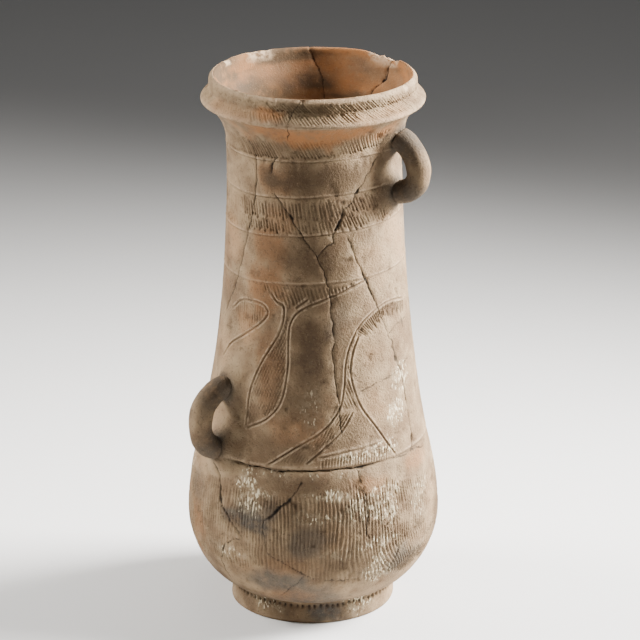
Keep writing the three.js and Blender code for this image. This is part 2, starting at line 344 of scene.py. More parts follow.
@dataclass(frozen=True)
class Skin:
    """Places on the jar's outer wall: azimuth in degrees, level and radius in millimetres, and points."""

    azimuth: np.ndarray
    level: np.ndarray
    radius: np.ndarray
    points: np.ndarray

    def part(self, chosen: np.ndarray) -> "Skin":
        """The chosen places alone."""
        return Skin(self.azimuth[chosen], self.level[chosen], self.radius[chosen], self.points[chosen])

    def near(self, path: np.ndarray, margin: float) -> np.ndarray:
        """Which places lie within a margin in millimetres of the box round a path on the wall.

        Args:
            path: points (azimuth, level) of the path.
            margin: how far outside the box still counts.

        Returns:
            True for each place that is near.
        """
        middle = (path[:, 0].min() + path[:, 0].max()) / 2
        azimuth = turn_between(self.azimuth, middle)
        sideways = margin / 1.05
        across = (azimuth > path[:, 0].min() - sideways) & (azimuth < path[:, 0].max() + sideways)
        return across & (self.level > path[:, 1].min() - margin) & (self.level < path[:, 1].max() + margin)

    def distance(self, path: np.ndarray) -> tuple[np.ndarray, np.ndarray]:
        """Distance along the wall to a path.

        Args:
            path: points (azimuth, level) of the path.

        Returns:
            The distance in millimetres, and how far along the path the nearest spot is, from 0 to 1.
        """
        middle = (path[:, 0].min() + path[:, 0].max()) / 2
        azimuth = turn_between(self.azimuth, middle)
        per_degree = np.radians(1.0) * self.radius
        best = np.full(len(azimuth), 1e9)
        along = np.zeros(len(azimuth))
        spans = len(path) - 1
        for i in range(spans):
            step_x = (path[i + 1, 0] - path[i, 0]) * per_degree
            step_y = path[i + 1, 1] - path[i, 1]
            off_x = (azimuth - path[i, 0]) * per_degree
            off_y = self.level - path[i, 1]
            share = (off_x * step_x + off_y * step_y) / np.maximum(step_x**2 + step_y**2, 1e-9)
            share = np.clip(share, 0.0, 1.0)
            apart = np.hypot(off_x - share * step_x, off_y - share * step_y)
            closer = apart < best
            best = np.where(closer, apart, best)
            along = np.where(closer, (i + share) / spans, along)
        return best, along

    def inside(self, ring: np.ndarray) -> np.ndarray:
        """Whether each place lies inside a closed ring of (azimuth, level) points.

        Args:
            ring: the ring's corners in order.

        Returns:
            True for each place inside.
        """
        middle = (ring[:, 0].min() + ring[:, 0].max()) / 2
        azimuth = turn_between(self.azimuth, middle)
        odd = np.zeros(len(azimuth), bool)
        for start, end in zip(ring, np.roll(ring, -1, axis=0)):
            spans = (start[1] > self.level) != (end[1] > self.level)
            rise = end[1] - start[1]
            cross = start[0] + (self.level - start[1]) * (end[0] - start[0]) / (rise if rise else 1e-9)
            odd ^= spans & (azimuth < cross)
        return odd


@dataclass(frozen=True)
class Ring:
    """A line scored round the jar while it turned. It rises towards the upper handle's side by its tilt."""

    level: float
    tilt: float
    width: float = 1.5
    depth: float = 0.85
    burr: float = 0.3
    wander: float = 0.8
    wander_grain: float = 40.0
    press_grain: float = 22.0

    def cut(self, skin: Skin) -> tuple[np.ndarray, np.ndarray]:
        """Depth of the groove and height of the burr along its upper edge, in millimetres.

        Args:
            skin: places on the wall.

        Returns:
            The depth and the burr's height at each place.
        """
        cut = np.zeros(len(skin.level))
        burr = np.zeros(len(skin.level))
        close = np.abs(skin.level - self.level) < self.tilt + 4.0
        part = skin.part(close)
        flat = part.points * (1.0, 1.0, 0.0)
        wander = Noise(11).at(flat, self.wander_grain, 2) * self.wander
        pressure = 0.75 + 0.35 * Noise(12).at(flat + self.level, self.press_grain)
        level = self.level + self.tilt * np.sin(np.radians(part.azimuth)) + wander
        above = part.level - level
        cut[close] = self.depth * pressure * notch(above, self.width * 0.62)
        burr[close] = self.burr * pressure * bell(above - 1.05 * self.width, self.width * 0.45)
        return cut, burr


@dataclass(frozen=True)
class StrokeRow:
    """A row of short strokes round the jar, each with its own length, pressure and place.

    The lean is in degrees of azimuth for each millimetre of height, and the press is extra depth at the
    lower end, where the tool was pushed in. The swing is more lean on the right of the front.
    """

    count: int
    low: float
    high: float
    tilt: float
    lean: float
    width: float
    depth: float
    seed: int
    press: float = 0.0
    ragged: float = 1.6
    swing: float = 0.0
    uneven: float = 0.17
    faintest: float = 0.55
    press_lift: float = 0.9

    def cut(self, skin: Skin) -> np.ndarray:
        """Depth of the strokes at each place, in millimetres.

        Args:
            skin: places on the wall.

        Returns:
            The depth, 0 away from the row.
        """
        cut = np.zeros(len(skin.level))
        margin = self.tilt + 3.0
        close = (skin.level > self.low - margin) & (skin.level < self.high + margin)
        cut[close] = self.cut_near(skin.part(close))
        return cut

    def cut_near(self, skin: Skin) -> np.ndarray:
        """Depth of the strokes at places that lie near the row, in millimetres.

        Args:
            skin: places near the row.

        Returns:
            The depth at each place.
        """
        rng = np.random.default_rng(self.seed)
        shift = rng.uniform(-self.uneven, self.uneven, self.count)
        top = rng.uniform(0.0, self.ragged, self.count)
        bottom = rng.uniform(0.0, self.ragged, self.count)
        strength = rng.uniform(self.faintest, 1.0, self.count)
        level = skin.level - self.tilt * np.sin(np.radians(skin.azimuth))
        right_front = ease(-5.0, 30.0, skin.azimuth) * (1.0 - ease(70.0, 100.0, skin.azimuth))
        lean = self.lean + self.swing * right_front
        turn = (skin.azimuth + lean * (level - (self.low + self.high) / 2)) * self.count / 360.0
        index = np.floor(turn).astype(np.int64) % self.count
        pitch = 2 * math.pi * skin.radius / self.count
        aside = np.abs(turn - np.floor(turn) - 0.5 - shift[index]) * pitch
        start = self.low + bottom[index]
        end = self.high - top[index]
        length = ease(-0.8, 0.6, level - start) * ease(-0.8, 0.8, end - level)
        cut = self.depth * strength[index] * notch(aside, self.width * 0.68) * length
        pressed = self.press * bell(np.hypot(aside, level - start - self.press_lift), self.width * 0.62)
        return cut + pressed


@dataclass(frozen=True)
class IncisedLine:
    """A line drawn in the wet clay through a few knots (azimuth in degrees, level in millimetres)."""

    knots: tuple[tuple[float, float], ...]
    width: float = 1.35
    depth: float = 1.2
    burr: float = 0.45
    starts: float = 0.0
    press_grain: float = 16.0

    @property
    def path(self) -> np.ndarray:
        """The smooth curve through the knots."""
        return flowing(list(self.knots), 6)

    def cut(self, skin: Skin) -> tuple[np.ndarray, np.ndarray]:
        """Depth of the line and height of the clay thrown up beside it, in millimetres.

        Args:
            skin: places on the wall.

        Returns:
            The depth and the burr's height at each place.
        """
        cut = np.zeros(len(skin.level))
        burr = np.zeros(len(skin.level))
        path = self.path
        close = skin.near(path, 4.0 * self.width)
        part = skin.part(close)
        apart, along = part.distance(path)
        pressure = 0.8 + 0.3 * Noise(21).at(part.points, self.press_grain)
        ends = ease(0.0, 0.03, along) * ease(0.0, 0.03, 1.0 - along) * 0.5 + 0.5
        drawn = pressure * ends * (0.15 + 0.85 * ease(self.starts - 0.03, self.starts + 0.04, along + 0.04))
        cut[close] = self.depth * notch(apart, self.width * 0.66) * drawn
        burr[close] = self.burr * bell(apart - 1.05 * self.width, self.width * 0.42) * drawn
        return cut, burr


@dataclass(frozen=True)
class Break:
    """An old break, glued tight: a jagged dark line with small losses along it."""

    knots: tuple[tuple[float, float], ...]
    width: float = 0.7
    depth: float = 1.1
    loss: float = 1.0
    reach: float = 8.0
    jag: float = 1.5
    jag_grain: float = 7.5
    loss_grain: float = 8.0

    def open(self, skin: Skin) -> tuple[np.ndarray, np.ndarray]:
        """How far the break is open at each place.

        Args:
            skin: places on the wall.

        Returns:
            The depth in millimetres, and the darkness from 0 to 1.
        """
        depth = np.zeros(len(skin.level))
        dark = np.zeros(len(skin.level))
        path = np.array(self.knots, float)
        close = skin.near(path, self.reach)
        part = skin.part(close)
        if not close.any():
            return depth, dark
        jag_x = Noise(31).at(part.points, self.jag_grain, 4) * self.jag
        jag_y = Noise(32).at(part.points, self.jag_grain, 4) * self.jag
        azimuth = part.azimuth + np.degrees(jag_x / part.radius)
        moved = Skin(azimuth, part.level + jag_y, part.radius, part.points)
        apart, along = moved.distance(path)
        lost = np.clip(Noise(33).at(part.points, self.loss_grain, 2) - 0.25, 0.0, 0.6) * self.loss
        width = self.width * (0.48 + 2.6 * lost)
        fade = ease(0.0, 0.04, along) * ease(0.0, 0.06, 1.0 - along)
        depth[close] = self.depth * (0.6 + 1.2 * lost) * notch(apart, width + 0.3) * fade
        dark[close] = (1.0 - ease(0.3, 1.0, apart / (width + 0.25))) * fade * (0.78 + 0.5 * lost)
        return depth, np.clip(dark, 0.0, 1.0)


@dataclass(frozen=True)
class Stain:
    """A soft-edged patch of colour: its place (azimuth, level), half width, half height and strength."""

    azimuth: float
    level: float
    wide: float
    high: float
    strength: float = 1.0

    def spread(self, skin: Skin, ragged: np.ndarray) -> np.ndarray:
        """How strong the patch is at each place, from 0 to its strength, with a ragged edge.

        Args:
            skin: places on the wall.
            ragged: noise that frays the edge.

        Returns:
            The strength at each place.
        """
        azimuth = turn_between(skin.azimuth, self.azimuth)
        across = np.radians(azimuth - self.azimuth) * skin.radius / self.wide
        reach = np.hypot(across, (skin.level - self.level) / self.high)
        return self.strength * (1.0 - ease(0.35, 1.35, reach + 0.55 * ragged))


LEAF_RIGHT = IncisedLine(
    (
        (32, 276.5), (9, 266.5), (-8, 257.5), (-14.5, 248), (-16, 236), (-15.8, 212), (-18.5, 187),
        (-26, 172), (-38, 162),
    )
)
LEAF_LEFT = IncisedLine(
    ((-31.5, 272.5), (-24.5, 262), (-19.3, 257.5), (-21.5, 239), (-32.5, 213), (-38.5, 190), (-39, 163)),
    starts=0.1,
)
TRIANGLE_SIDE = IncisedLine(((-41, 276), (-31, 267), (-20, 257)))
LEAF_SPUR = IncisedLine(((-4.5, 265.5), (-11.5, 258.5)), width=1.6, depth=1.1)
CURL = IncisedLine(
    (
        (-66.5, 207), (-59, 219.5), (-47, 230.5), (-35, 242.5), (-30, 252), (-35.5, 258), (-50, 256.8),
        (-60.5, 247),
    )
)
ARCH_OUTER = IncisedLine(
    (
        (69, 251.5), (51, 255.2), (37.5, 251), (27, 241.8), (20.5, 228), (17.5, 214), (16.5, 199),
        (13.5, 181), (4, 165), (-9, 153), (-24, 137),
    )
)
ARCH_INNER = IncisedLine(
    ((26.5, 235), (22, 222), (20.6, 205), (25.5, 182.5), (35, 162.5), (43, 145), (46.5, 137.5))
)
LEG_INNER = IncisedLine(((21, 177.5), (14.5, 164.2), (4, 150.8), (-3.5, 141)))
BASE_LINE = IncisedLine(((3, 145.5), (17.5, 148.5), (38, 151)), width=1.7, depth=0.8)
BACK_LEFT = IncisedLine(((118, 138), (140, 158), (153, 179), (161, 213), (176, 251), (200, 254), (222, 234)))
BACK_RIGHT = IncisedLine(((208, 138), (190, 158), (178, 179), (172, 206), (183, 234)))
LINES = (
    LEAF_RIGHT, LEAF_LEFT, LEAF_SPUR, CURL, ARCH_OUTER, ARCH_INNER, LEG_INNER, BASE_LINE,
    BACK_LEFT, BACK_RIGHT,
)

BREAKS = (
    Break(
        ((-45.5, 384), (-39, 366), (-40.5, 343), (-48, 308), (-56.5, 273), (-64.5, 251), (-71, 241)),
        0.6, 0.9, 0.7,
    ),
    Break(
        ((-26, 346), (-17.5, 331), (-7.5, 312.5), (1.5, 296), (8.5, 273), (9, 252), (11.5, 233)),
        0.75, 1.2, 0.9,
    ),
    Break(((11.5, 233), (9.5, 219), (11.8, 199), (13.5, 184), (13, 172), (15, 160)), 0.6, 1.0, 0.8),
    Break(((1.5, 296), (11, 309.5), (20, 333), (36, 353), (46, 370)), 0.7, 1.1, 0.9),
    Break(((20.5, 315), (29.5, 286.5), (36, 267), (45.5, 238), (54.5, 212), (57, 203)), 0.6, 0.9, 0.9),
    Break(((70.5, 236), (58, 235), (49, 231)), 0.4, 0.6, 0.3),
    Break(((25, 192.5), (42, 198), (57, 201), (70, 205)), 0.4, 0.6, 0.3),
    Break(((50, 222), (57, 203), (60.5, 172), (61, 148), (58.5, 135)), 0.8, 1.3, 1.2),
    Break(((44, 135.5), (59, 136), (73, 133)), 0.6, 0.8, 0.7),
    Break(((-50.5, 133), (-56.5, 128), (-51.5, 120), (-49, 102), (-41, 89), (-33.5, 78)), 1.5, 1.8, 1.2),
    Break(((-33.5, 78), (-44, 70), (-48.5, 54), (-47, 36)), 0.5, 0.7, 0.5),
    Break(((-5.5, 128), (-9, 119), (-16, 107), (-23, 94), (-23, 73)), 0.8, 1.3, 1.4),
    Break(((-22, 72), (-13.5, 63), (-3, 53), (-7, 45), (-17.5, 30)), 0.6, 0.9, 0.9),
    Break(((-3, 53), (8, 48), (25, 45)), 0.4, 0.6, 0.4),
    Break(((73.5, 71.5), (62, 67), (55.5, 56), (55, 47)), 0.4, 0.7, 0.5),
    Break(((36.5, 80.5), (42, 68), (39.5, 48)), 0.4, 0.6, 0.5),
    Break(((22, 136), (26, 110), (25, 72)), 0.5, 0.8, 0.7),
    Break(((-7.5, 419), (-12, 405), (-15, 387)), 0.35, 0.6, 0.5),
    Break(((58.5, 393), (51, 388), (50, 380)), 0.5, 0.8, 0.4),
    Break(((-23, 372), (-29, 360)), 0.8, 0.9, 1.0),
    Break(
        ((128, 419), (132, 384), (121, 345), (130, 300), (152, 262), (148, 214), (163, 168), (158, 136)),
        0.6, 1.0, 0.9,
    ),
    Break(((-152, 419), (-143, 372), (-160, 316), (-148, 262), (-122, 231), (-108, 186)), 0.6, 1.0, 0.9),
    Break(((158, 136), (170, 104), (150, 76), (156, 44), (141, 24)), 0.6, 1.0, 0.9),
    Break(((-108, 186), (-96, 150), (-118, 110), (-104, 70)), 0.5, 0.8, 0.7),
)

MOUTH_BREAKS = (
    Break(
        ((183, 421), (181, 411), (177, 403), (174.5, 397), (173, 391), (170, 372), (176, 350)),
        0.85, 1.5, 0.8,
    ),
    Break(
        ((123, 421), (127, 415), (128.3, 411), (128, 403), (133.6, 395), (137, 380), (133, 358)),
        0.9, 1.6, 0.8,
    ),
)

# Dark umber patches: the clay's own dark tone, and down the front's middle partly painted shade.
UMBER_AND_SHADE = (
    Stain(-13, 356, 24, 12, 1.0), Stain(-24, 356, 15, 12, 1.0), Stain(-30, 284, 14, 40, 0.6),
    Stain(12, 357, 26, 12, 0.85), Stain(-3, 296, 30, 18, 0.85), Stain(6, 268, 26, 16, 0.6),
    Stain(-4, 222, 20, 48, 1.0), Stain(-10, 186, 22, 26, 0.8), Stain(12, 240, 12, 26, 0.5),
    Stain(-22, 150, 30, 14, 0.6), Stain(16, 160, 24, 16, 0.55), Stain(30, 140, 26, 12, 0.35),
    Stain(2, 330, 22, 14, 0.5), Stain(-6, 124, 40, 10, 0.7), Stain(4, 92, 44, 26, 0.6),
    Stain(6, 62, 40, 18, 0.55), Stain(-6, 404, 26, 5, 0.2), Stain(-34, 377, 20, 9, 0.3),
    Stain(2, 12, 60, 10, 0.7), Stain(44, 130, 20, 12, 0.3), Stain(32, 300, 16, 18, 0.2),
    Stain(-25, 210, 13, 42, 0.6), Stain(170, 210, 50, 70, 0.6), Stain(-130, 300, 40, 40, 0.5),
    Stain(110, 130, 40, 30, 0.5), Stain(-150, 70, 50, 30, 0.6), Stain(98, 240, 26, 44, 0.65),
    Stain(92, 78, 30, 22, 0.6), Stain(104, 350, 24, 16, 0.6), Stain(94, 165, 20, 20, 0.5),
    Stain(-98, 214, 26, 40, 0.5), Stain(-92, 335, 24, 26, 0.5), Stain(96, 400, 22, 8, 0.5),
    Stain(-96, 70, 26, 22, 0.4),
)
SOOT = (
    Stain(-31, 93, 19, 12, 1.0), Stain(-22, 104, 12, 10, 0.6), Stain(-16, 44, 30, 11, 0.85),
    Stain(-1, 27, 26, 8, 0.8), Stain(-3, 82, 20, 13, 0.6), Stain(47, 58, 22, 12, 0.8),
    Stain(-69, 101, 12, 14, 0.5), Stain(-4, 216, 12, 24, 0.1), Stain(13, 248, 10, 16, 0.35),
    Stain(8, 9, 20, 9, 0.95), Stain(36, 130, 16, 6, 0.3), Stain(160, 240, 40, 60, 0.4),
    Stain(-140, 120, 34, 40, 0.6), Stain(118, 70, 30, 26, 0.55), Stain(-165, 330, 34, 26, 0.45),
    Stain(92, 290, 22, 40, 0.3),
)
GLOW = (
    Stain(4, 391, 62, 9, 1.0), Stain(-50, 402, 30, 7, 0.3), Stain(40, 404, 24, 5, 0.25),
    Stain(-24, 356, 16, 11, 0.7), Stain(-31, 276, 14, 26, 0.85), Stain(-29, 302, 13, 14, 0.75),
    Stain(-24, 322, 12, 12, 0.3), Stain(-8, 168, 24, 12, 0.45), Stain(-22, 408, 14, 5, 0.8),
    Stain(-8, 60, 22, 8, 0.3), Stain(-46, 238, 12, 18, 0.35), Stain(-27, 206, 12, 30, 0.45),
    Stain(-68, 76, 14, 24, 0.45), Stain(170, 300, 40, 30, 0.4), Stain(30, 122, 20, 8, 0.4),
    Stain(-12, 30, 20, 7, 0.4), Stain(-70, 300, 16, 30, 0.25), Stain(60, 126, 16, 8, 0.4),
    Stain(-100, 90, 26, 34, 0.5), Stain(140, 180, 30, 30, 0.4),
)
MOUTH_CLOUDS = (
    Stain(-168, 400, 24, 9, 0.35), Stain(150, 408, 12, 6, 0.3), Stain(-128, 398, 18, 7, 0.3),
)
LIME = (
    Stain(-35, 123, 11, 5, 0.9), Stain(-31, 106, 15, 9, 0.7), Stain(-24, 115, 12, 5, 0.6),
    Stain(10, 116, 19, 6, 1.0), Stain(22, 104, 16, 10, 0.8), Stain(34, 106, 15, 15, 0.75),
    Stain(31, 76, 15, 10, 0.7), Stain(32, 56, 13, 14, 0.85), Stain(10, 71, 13, 7, 0.5),
    Stain(42, 116, 14, 8, 0.7), Stain(58, 95, 15, 20, 0.45), Stain(57, 193, 9, 14, 0.8),
    Stain(50, 172, 10, 10, 0.8), Stain(20, 144, 26, 4, 0.6), Stain(37, 146, 14, 6, 0.75),
    Stain(-44, 62, 22, 8, 0.4), Stain(-5, 132, 60, 3, 0.35), Stain(36, 13, 16, 8, 0.7),
    Stain(-36, 13, 14, 7, 0.5), Stain(6, 100, 24, 8, 0.45), Stain(-3, 186, 10, 22, 0.3),
    Stain(150, 100, 36, 24, 0.6), Stain(-120, 60, 30, 16, 0.6), Stain(-150, 170, 24, 30, 0.4),
    Stain(96, 116, 20, 16, 0.5), Stain(-88, 112, 16, 10, 0.4),
)


def spread_of(patches: tuple[Stain, ...], skin: Skin, ragged: np.ndarray) -> np.ndarray:
    """How strong the strongest of some patches is at each place.

    Args:
        patches: the patches.
        skin: places on the wall.
        ragged: noise that frays their edges.

    Returns:
        The strength at each place, 0 outside them all.
    """
    spread = np.zeros(len(skin.level))
    for patch in patches:
        spread = np.maximum(spread, patch.spread(skin, ragged))
    return spread


@dataclass(frozen=True)
class CordMarks:
    """The print of a twisted cord beater on the belly: upright ridges that splay low on the right."""

    count: int = 208
    depth: float = 1.25
    twist: float = 2.3
    belt: tuple[float, float] = (32.0, 134.0)
    frayed: float = 5.0
    fray_grain: float = 14.0
    splay: float = 9.0
    splay_middle: float = 82.0
    top: tuple[tuple[float, float], ...] = (
        (-180, 112), (-120, 110), (-64, 114), (-50, 120), (-37, 120), (-6, 117), (20, 122), (41, 120),
        (56, 114), (120, 110), (180, 112),
    )
    bottom: tuple[tuple[float, float], ...] = (
        (-180, 52), (-100, 50), (-48, 53), (-30, 52), (-13, 58), (2, 51), (16, 45), (39, 44), (90, 50),
        (180, 52),
    )

    def cut(self, skin: Skin) -> np.ndarray:
        """Depth of the cord print at each place, in millimetres.

        Args:
            skin: places on the wall.

        Returns:
            The depth, 0 away from the belly.
        """
        cut = np.zeros(len(skin.level))
        close = (skin.level > self.belt[0]) & (skin.level < self.belt[1])
        cut[close] = self.cut_near(skin.part(close))
        return cut

    def cut_near(self, skin: Skin) -> np.ndarray:
        """Depth of the cord print on the belly, in millimetres.

        Args:
            skin: places on the belly.

        Returns:
            The depth at each place.
        """
        top = np.interp(skin.azimuth, *zip(*self.top))
        bottom = np.interp(skin.azimuth, *zip(*self.bottom))
        edge = Noise(41).at(skin.points, self.fray_grain, 2) * self.frayed
        zone = ease(-3.0, 3.0, skin.level - bottom + edge) * ease(-2.0, 3.0, top - skin.level + edge)
        splay = self.splay * ease(5.0, 45.0, skin.azimuth) * (1.0 - ease(50.0, 90.0, skin.azimuth))
        splay = splay * (1.0 - ease(self.splay_middle - 30.0, self.splay_middle, skin.level))
        wander = Noise(42).at(skin.points * (1.0, 1.0, 0.35), 26.0, 2) * 0.9
        wander = wander + Noise(44).at(skin.points * (1.0, 1.0, 0.5), 8.0, 2) * 0.38
        turn = skin.azimuth * self.count / 360.0 + wander
        turn = turn + splay * (skin.level - self.splay_middle) / 60.0
        index = np.floor(turn)
        across = np.abs(turn - index - 0.5) * 2.0
        bead = 0.5 + 0.5 * np.cos(2 * math.pi * (skin.level / self.twist + 0.37 * index))
        worn = np.clip(0.95 + 0.7 * Noise(43).at(skin.points, 13.0, 3), 0.45, 1.25)
        return self.depth * zone * worn * (1.0 - across) ** 1.25 * (0.72 + 0.28 * bead)


@dataclass(frozen=True)
class Relief:
    """What the skin does at each place: its height off the smooth wall in millimetres, and three masks, which
    carry painted shade and painted highlight besides breaks, dirt and wear.
    """

    height: np.ndarray
    crack: np.ndarray
    recess: np.ndarray
    wear: np.ndarray


@dataclass(frozen=True)
class Decoration:
    """Everything scored, pressed, broken or worn into the outer wall."""

    outline: Outline
    rings: tuple[Ring, ...] = (
        Ring(135.6, 1.0, 2.2, 1.3), Ring(275.6, 3.0, 1.6, 0.6), Ring(313.0, 4.6, 1.4, 0.8),
        Ring(342.0, 3.0, 1.4, 0.8), Ring(369.2, 1.6, 1.2, 0.7), Ring(18.6, 0.0, 1.6, 0.9, burr=0.0),
        Ring(398.4, 0.0, 1.6, 0.9, burr=0.0),
    )
    rows: tuple[StrokeRow, ...] = (
        StrokeRow(176, 372.4, 386.0, 4.6, 0.42, 1.1, 1.0, 51, press=1.0),
        StrokeRow(176, 380.5, 387.5, 4.4, 0.34, 0.9, 0.7, 52),
        StrokeRow(151, 324.2, 340.8, 3.4, 0.10, 1.4, 1.3, 53, press=0.5, ragged=5.0, swing=0.24),
        StrokeRow(166, 313.6, 327.5, 4.2, 0.14, 1.4, 1.25, 54, press=0.4, ragged=5.0, swing=0.24),
        StrokeRow(204, 409.2, 416.2, 0.0, 0.78, 1.3, 1.5, 55, press=0.6, ragged=1.2),
        StrokeRow(204, 402.6, 409.4, 0.0, 0.72, 1.25, 1.15, 56, ragged=1.6),
    )
    prick_level: float = 14.6
    prick_count: int = 86
    prick_depth: float = 2.4
    prick_radius: float = 1.1
    figure_reach: float = 80.0
    teeth: float = 30.0
    tooth_pitch: float = 2.3
    tooth_width: float = 0.55
    tooth_length: float = 10.5
    tooth_change: float = 2.0
    crown_steps: int = 22

    def between(
        self, skin: Skin, left: IncisedLine, right: IncisedLine, low: float, high: float
    ) -> np.ndarray:
        """How far inside the strip between two lines each place lies, from 0 to 1.

        Args:
            skin: places on the wall.
            left: the line on the left.
            right: the line on the right.
            low: level of the strip's lower end.
            high: level of its upper end.

        Returns:
            A soft mask that is 1 well inside.
        """
        edges = []
        for line in (left, right):
            path = line.path[np.argsort(line.path[:, 1])]
            edges.append(np.interp(skin.level, path[:, 1], path[:, 0]))
        per_degree = np.radians(1.0) * skin.radius
        inner = np.minimum(skin.azimuth - edges[0], edges[1] - skin.azimuth) * per_degree
        return ease(0.6, 2.0, inner) * ease(0.0, 2.0, skin.level - low) * ease(0.0, 2.0, high - skin.level)

    def hatch(self, skin: Skin, slope: float, pitch: float, width: float) -> np.ndarray:
        """Parallel strokes at a slope in degrees from upright.

        Args:
            skin: places on the wall.
            slope: how far the strokes lean to the right at their top, in degrees.
            pitch: millimetres from one stroke to the next.
            width: millimetres across a stroke.

        Returns:
            Strength from 0 to 1 at each place.
        """
        sideways = np.radians(skin.azimuth) * skin.radius
        lean = math.radians(slope)
        wander = Noise(61).at(skin.points, 12.0, 2) * 0.22
        turn = (sideways * math.cos(lean) - skin.level * math.sin(lean)) / pitch + wander
        aside = np.abs(turn - np.floor(turn) - 0.5) * pitch
        dashes = 0.65 + 0.5 * Noise(62).at(skin.points, 5.0)
        return bell(aside, width / 2) * np.clip(dashes, 0.2, 1.0)

    def filled_figures(self, skin: Skin) -> np.ndarray:
        """Depth of the fine strokes that fill the figures, in millimetres.

        Args:
            skin: places in the figures' zone.

        Returns:
            The depth at each place.
        """
        woven = np.maximum(self.hatch(skin, 24.0, 2.1, 1.0), 0.8 * self.hatch(skin, -30.0, 2.4, 1.0))
        upright = self.hatch(skin, 4.0, 2.3, 1.1)
        falling = self.hatch(skin, -17.0, 2.7, 1.3)
        slanted = self.hatch(skin, -24.0, 2.2, 1.1)
        cut = 0.95 * woven * self.between(skin, LEAF_LEFT, LEAF_RIGHT, 164.0, 252.0)
        cut += 0.85 * falling * self.between(skin, TRIANGLE_SIDE, LEAF_RIGHT, 259.0, 274.5)
        cut += 0.8 * slanted * self.between(skin, ARCH_OUTER, ARCH_INNER, 181.0, 232.0)
        leg = self.between(skin, ARCH_OUTER, LEG_INNER, 140.0, 178.0)
        cut += 0.7 * self.hatch(skin, 30.0, 2.1, 1.0) * leg
        right_leg = self.between(skin, LEG_INNER, ARCH_INNER, 150.0, 182.0)
        cut += 0.35 * woven * right_leg
        base = ease(2.0, 5.0, skin.azimuth) * ease(0.0, 3.0, 43.0 - skin.azimuth)
        base = base * ease(136.5, 138.5, skin.level) * (1.0 - ease(144.5, 148.5, skin.level))
        cut += 0.8 * upright * base
        curl = skin.inside(CURL.path) * ease(222.0, 236.0, skin.level)
        cut += 0.6 * upright * curl
        return cut + self.arch_teeth(skin)

    def arch_teeth(self, skin: Skin) -> np.ndarray:
        """Depth of the teeth that hang inward from the arch's crown, in millimetres.

        Args:
            skin: places on the wall.

        Returns:
            The depth at each place.
        """
        cut = np.zeros(len(skin.level))
        crown = ARCH_OUTER.path[: self.crown_steps]
        close = skin.near(crown, self.tooth_length + 3.5)
        part = skin.part(close)
        apart, along = part.distance(crown)
        within = part.inside(np.vstack([crown, [(70.0, 228.0)]]))
        turn = along * self.teeth
        aside = np.abs(turn - np.floor(turn) - 0.5) * self.tooth_pitch
        length = self.tooth_length + self.tooth_change * np.sin(np.floor(turn) * 2.4)
        teeth = bell(aside, self.tooth_width) * ease(0.8, 2.0, apart) * ease(-1.0, 1.0, length - apart)
        cut[close] = teeth * within
        return cut

    def pricks(self, skin: Skin) -> np.ndarray:
        """Depth of the row of pricks under the joint of foot and belly, in millimetres.

        Args:
            skin: places on the wall.

        Returns:
            The depth at each place.
        """
        rng = np.random.default_rng(71)
        shift = rng.uniform(-0.1, 0.1, self.prick_count)
        rise = rng.uniform(-0.5, 0.5, self.prick_count)
        strength = rng.uniform(0.6, 1.0, self.prick_count)
        turn = skin.azimuth * self.prick_count / 360.0
        index = np.floor(turn).astype(np.int64) % self.prick_count
        pitch = 2 * math.pi * skin.radius / self.prick_count
        aside = (turn - np.floor(turn) - 0.5 - shift[index]) * pitch
        upward = (skin.level - self.prick_level - rise[index]) * 0.75
        return self.prick_depth * strength[index] * bell(np.hypot(aside, upward), self.prick_radius)

    def relief(self, skin: Skin) -> Relief:
        """The whole relief of the outer wall.

        Args:
            skin: places on the wall.

        Returns:
            Height and masks at each place.
        """
        outline = self.outline
        uneven = Noise(1).at(skin.points, 70.0, 2) * 0.5
        wiped = Noise(2).at(skin.points * (1.0, 1.0, 7.0), 46.0, 2) * 0.09
        dents = np.clip(Noise(4).at(skin.points, 7.0, 2) - 0.62, 0.0, 1.0) * 1.6
        cut, burr = self.tooled(skin)
        pricks = self.pricks(skin)
        cut = np.maximum(cut, pricks)
        cord = CordMarks().cut(skin)
        fissure, crack = self.broken(skin)
        # The pricks join the crack mask: painted shade in the holes.
        crack = np.maximum(crack, 0.75 * ease(0.5, 1.6, pricks))
        height = uneven + wiped + burr - dents - cut - cord - fissure
        # Darker in cuts, cord marks and dents: dirt, and painted shade in the recesses.
        recess = np.clip(cut / 1.1, 0.0, 1.0) + 0.8 * np.clip(cord / 0.9, 0.0, 1.0)
        recess = recess + np.clip(dents * 1.4, 0.0, 0.6)
        collar = ease(outline.collar_bottom, outline.collar_bottom + 3.0, skin.level)
        recess = recess * (1.0 - 0.5 * collar)
        # Paler bands: painted highlight along the collar's rounded lower edge and on the burrs, and a paler
        # strip along the lip's crest.
        edge = 0.55 * bell(skin.level - outline.collar_bottom - outline.collar * 0.2, 2.4)
        wear = np.clip(edge + 0.4 * bell(skin.level - outline.rim, 2.5) + 2.2 * burr, 0.0, 1.0)
        return Relief(height, crack, np.clip(recess, 0.0, 1.0), wear)

    def tooled(self, skin: Skin) -> tuple[np.ndarray, np.ndarray]:
        """Everything scored and drawn with a tool: rings, lines, rows of strokes and filled figures.

        Args:
            skin: places on the wall.

        Returns:
            The depth and the burrs' height at each place, in millimetres.
        """
        cut = np.zeros(len(skin.level))
        burr = np.zeros(len(skin.level))
        for scored in (*self.rings, *LINES):
            groove, ridge = scored.cut(skin)
            cut = np.maximum(cut, groove)
            burr = np.maximum(burr, ridge)
        kept = self.strokes_kept(skin)
        for row in self.rows:
            cut = np.maximum(cut, row.cut(skin) * kept)
        in_zone = (skin.level > self.outline.shoulder - 1.0) & (skin.level < self.outline.figure_top + 3.0)
        figures = in_zone & (np.abs(skin.azimuth) < self.figure_reach)
        cut[figures] = np.maximum(cut[figures], self.filled_figures(skin.part(figures)))
        return cut, burr

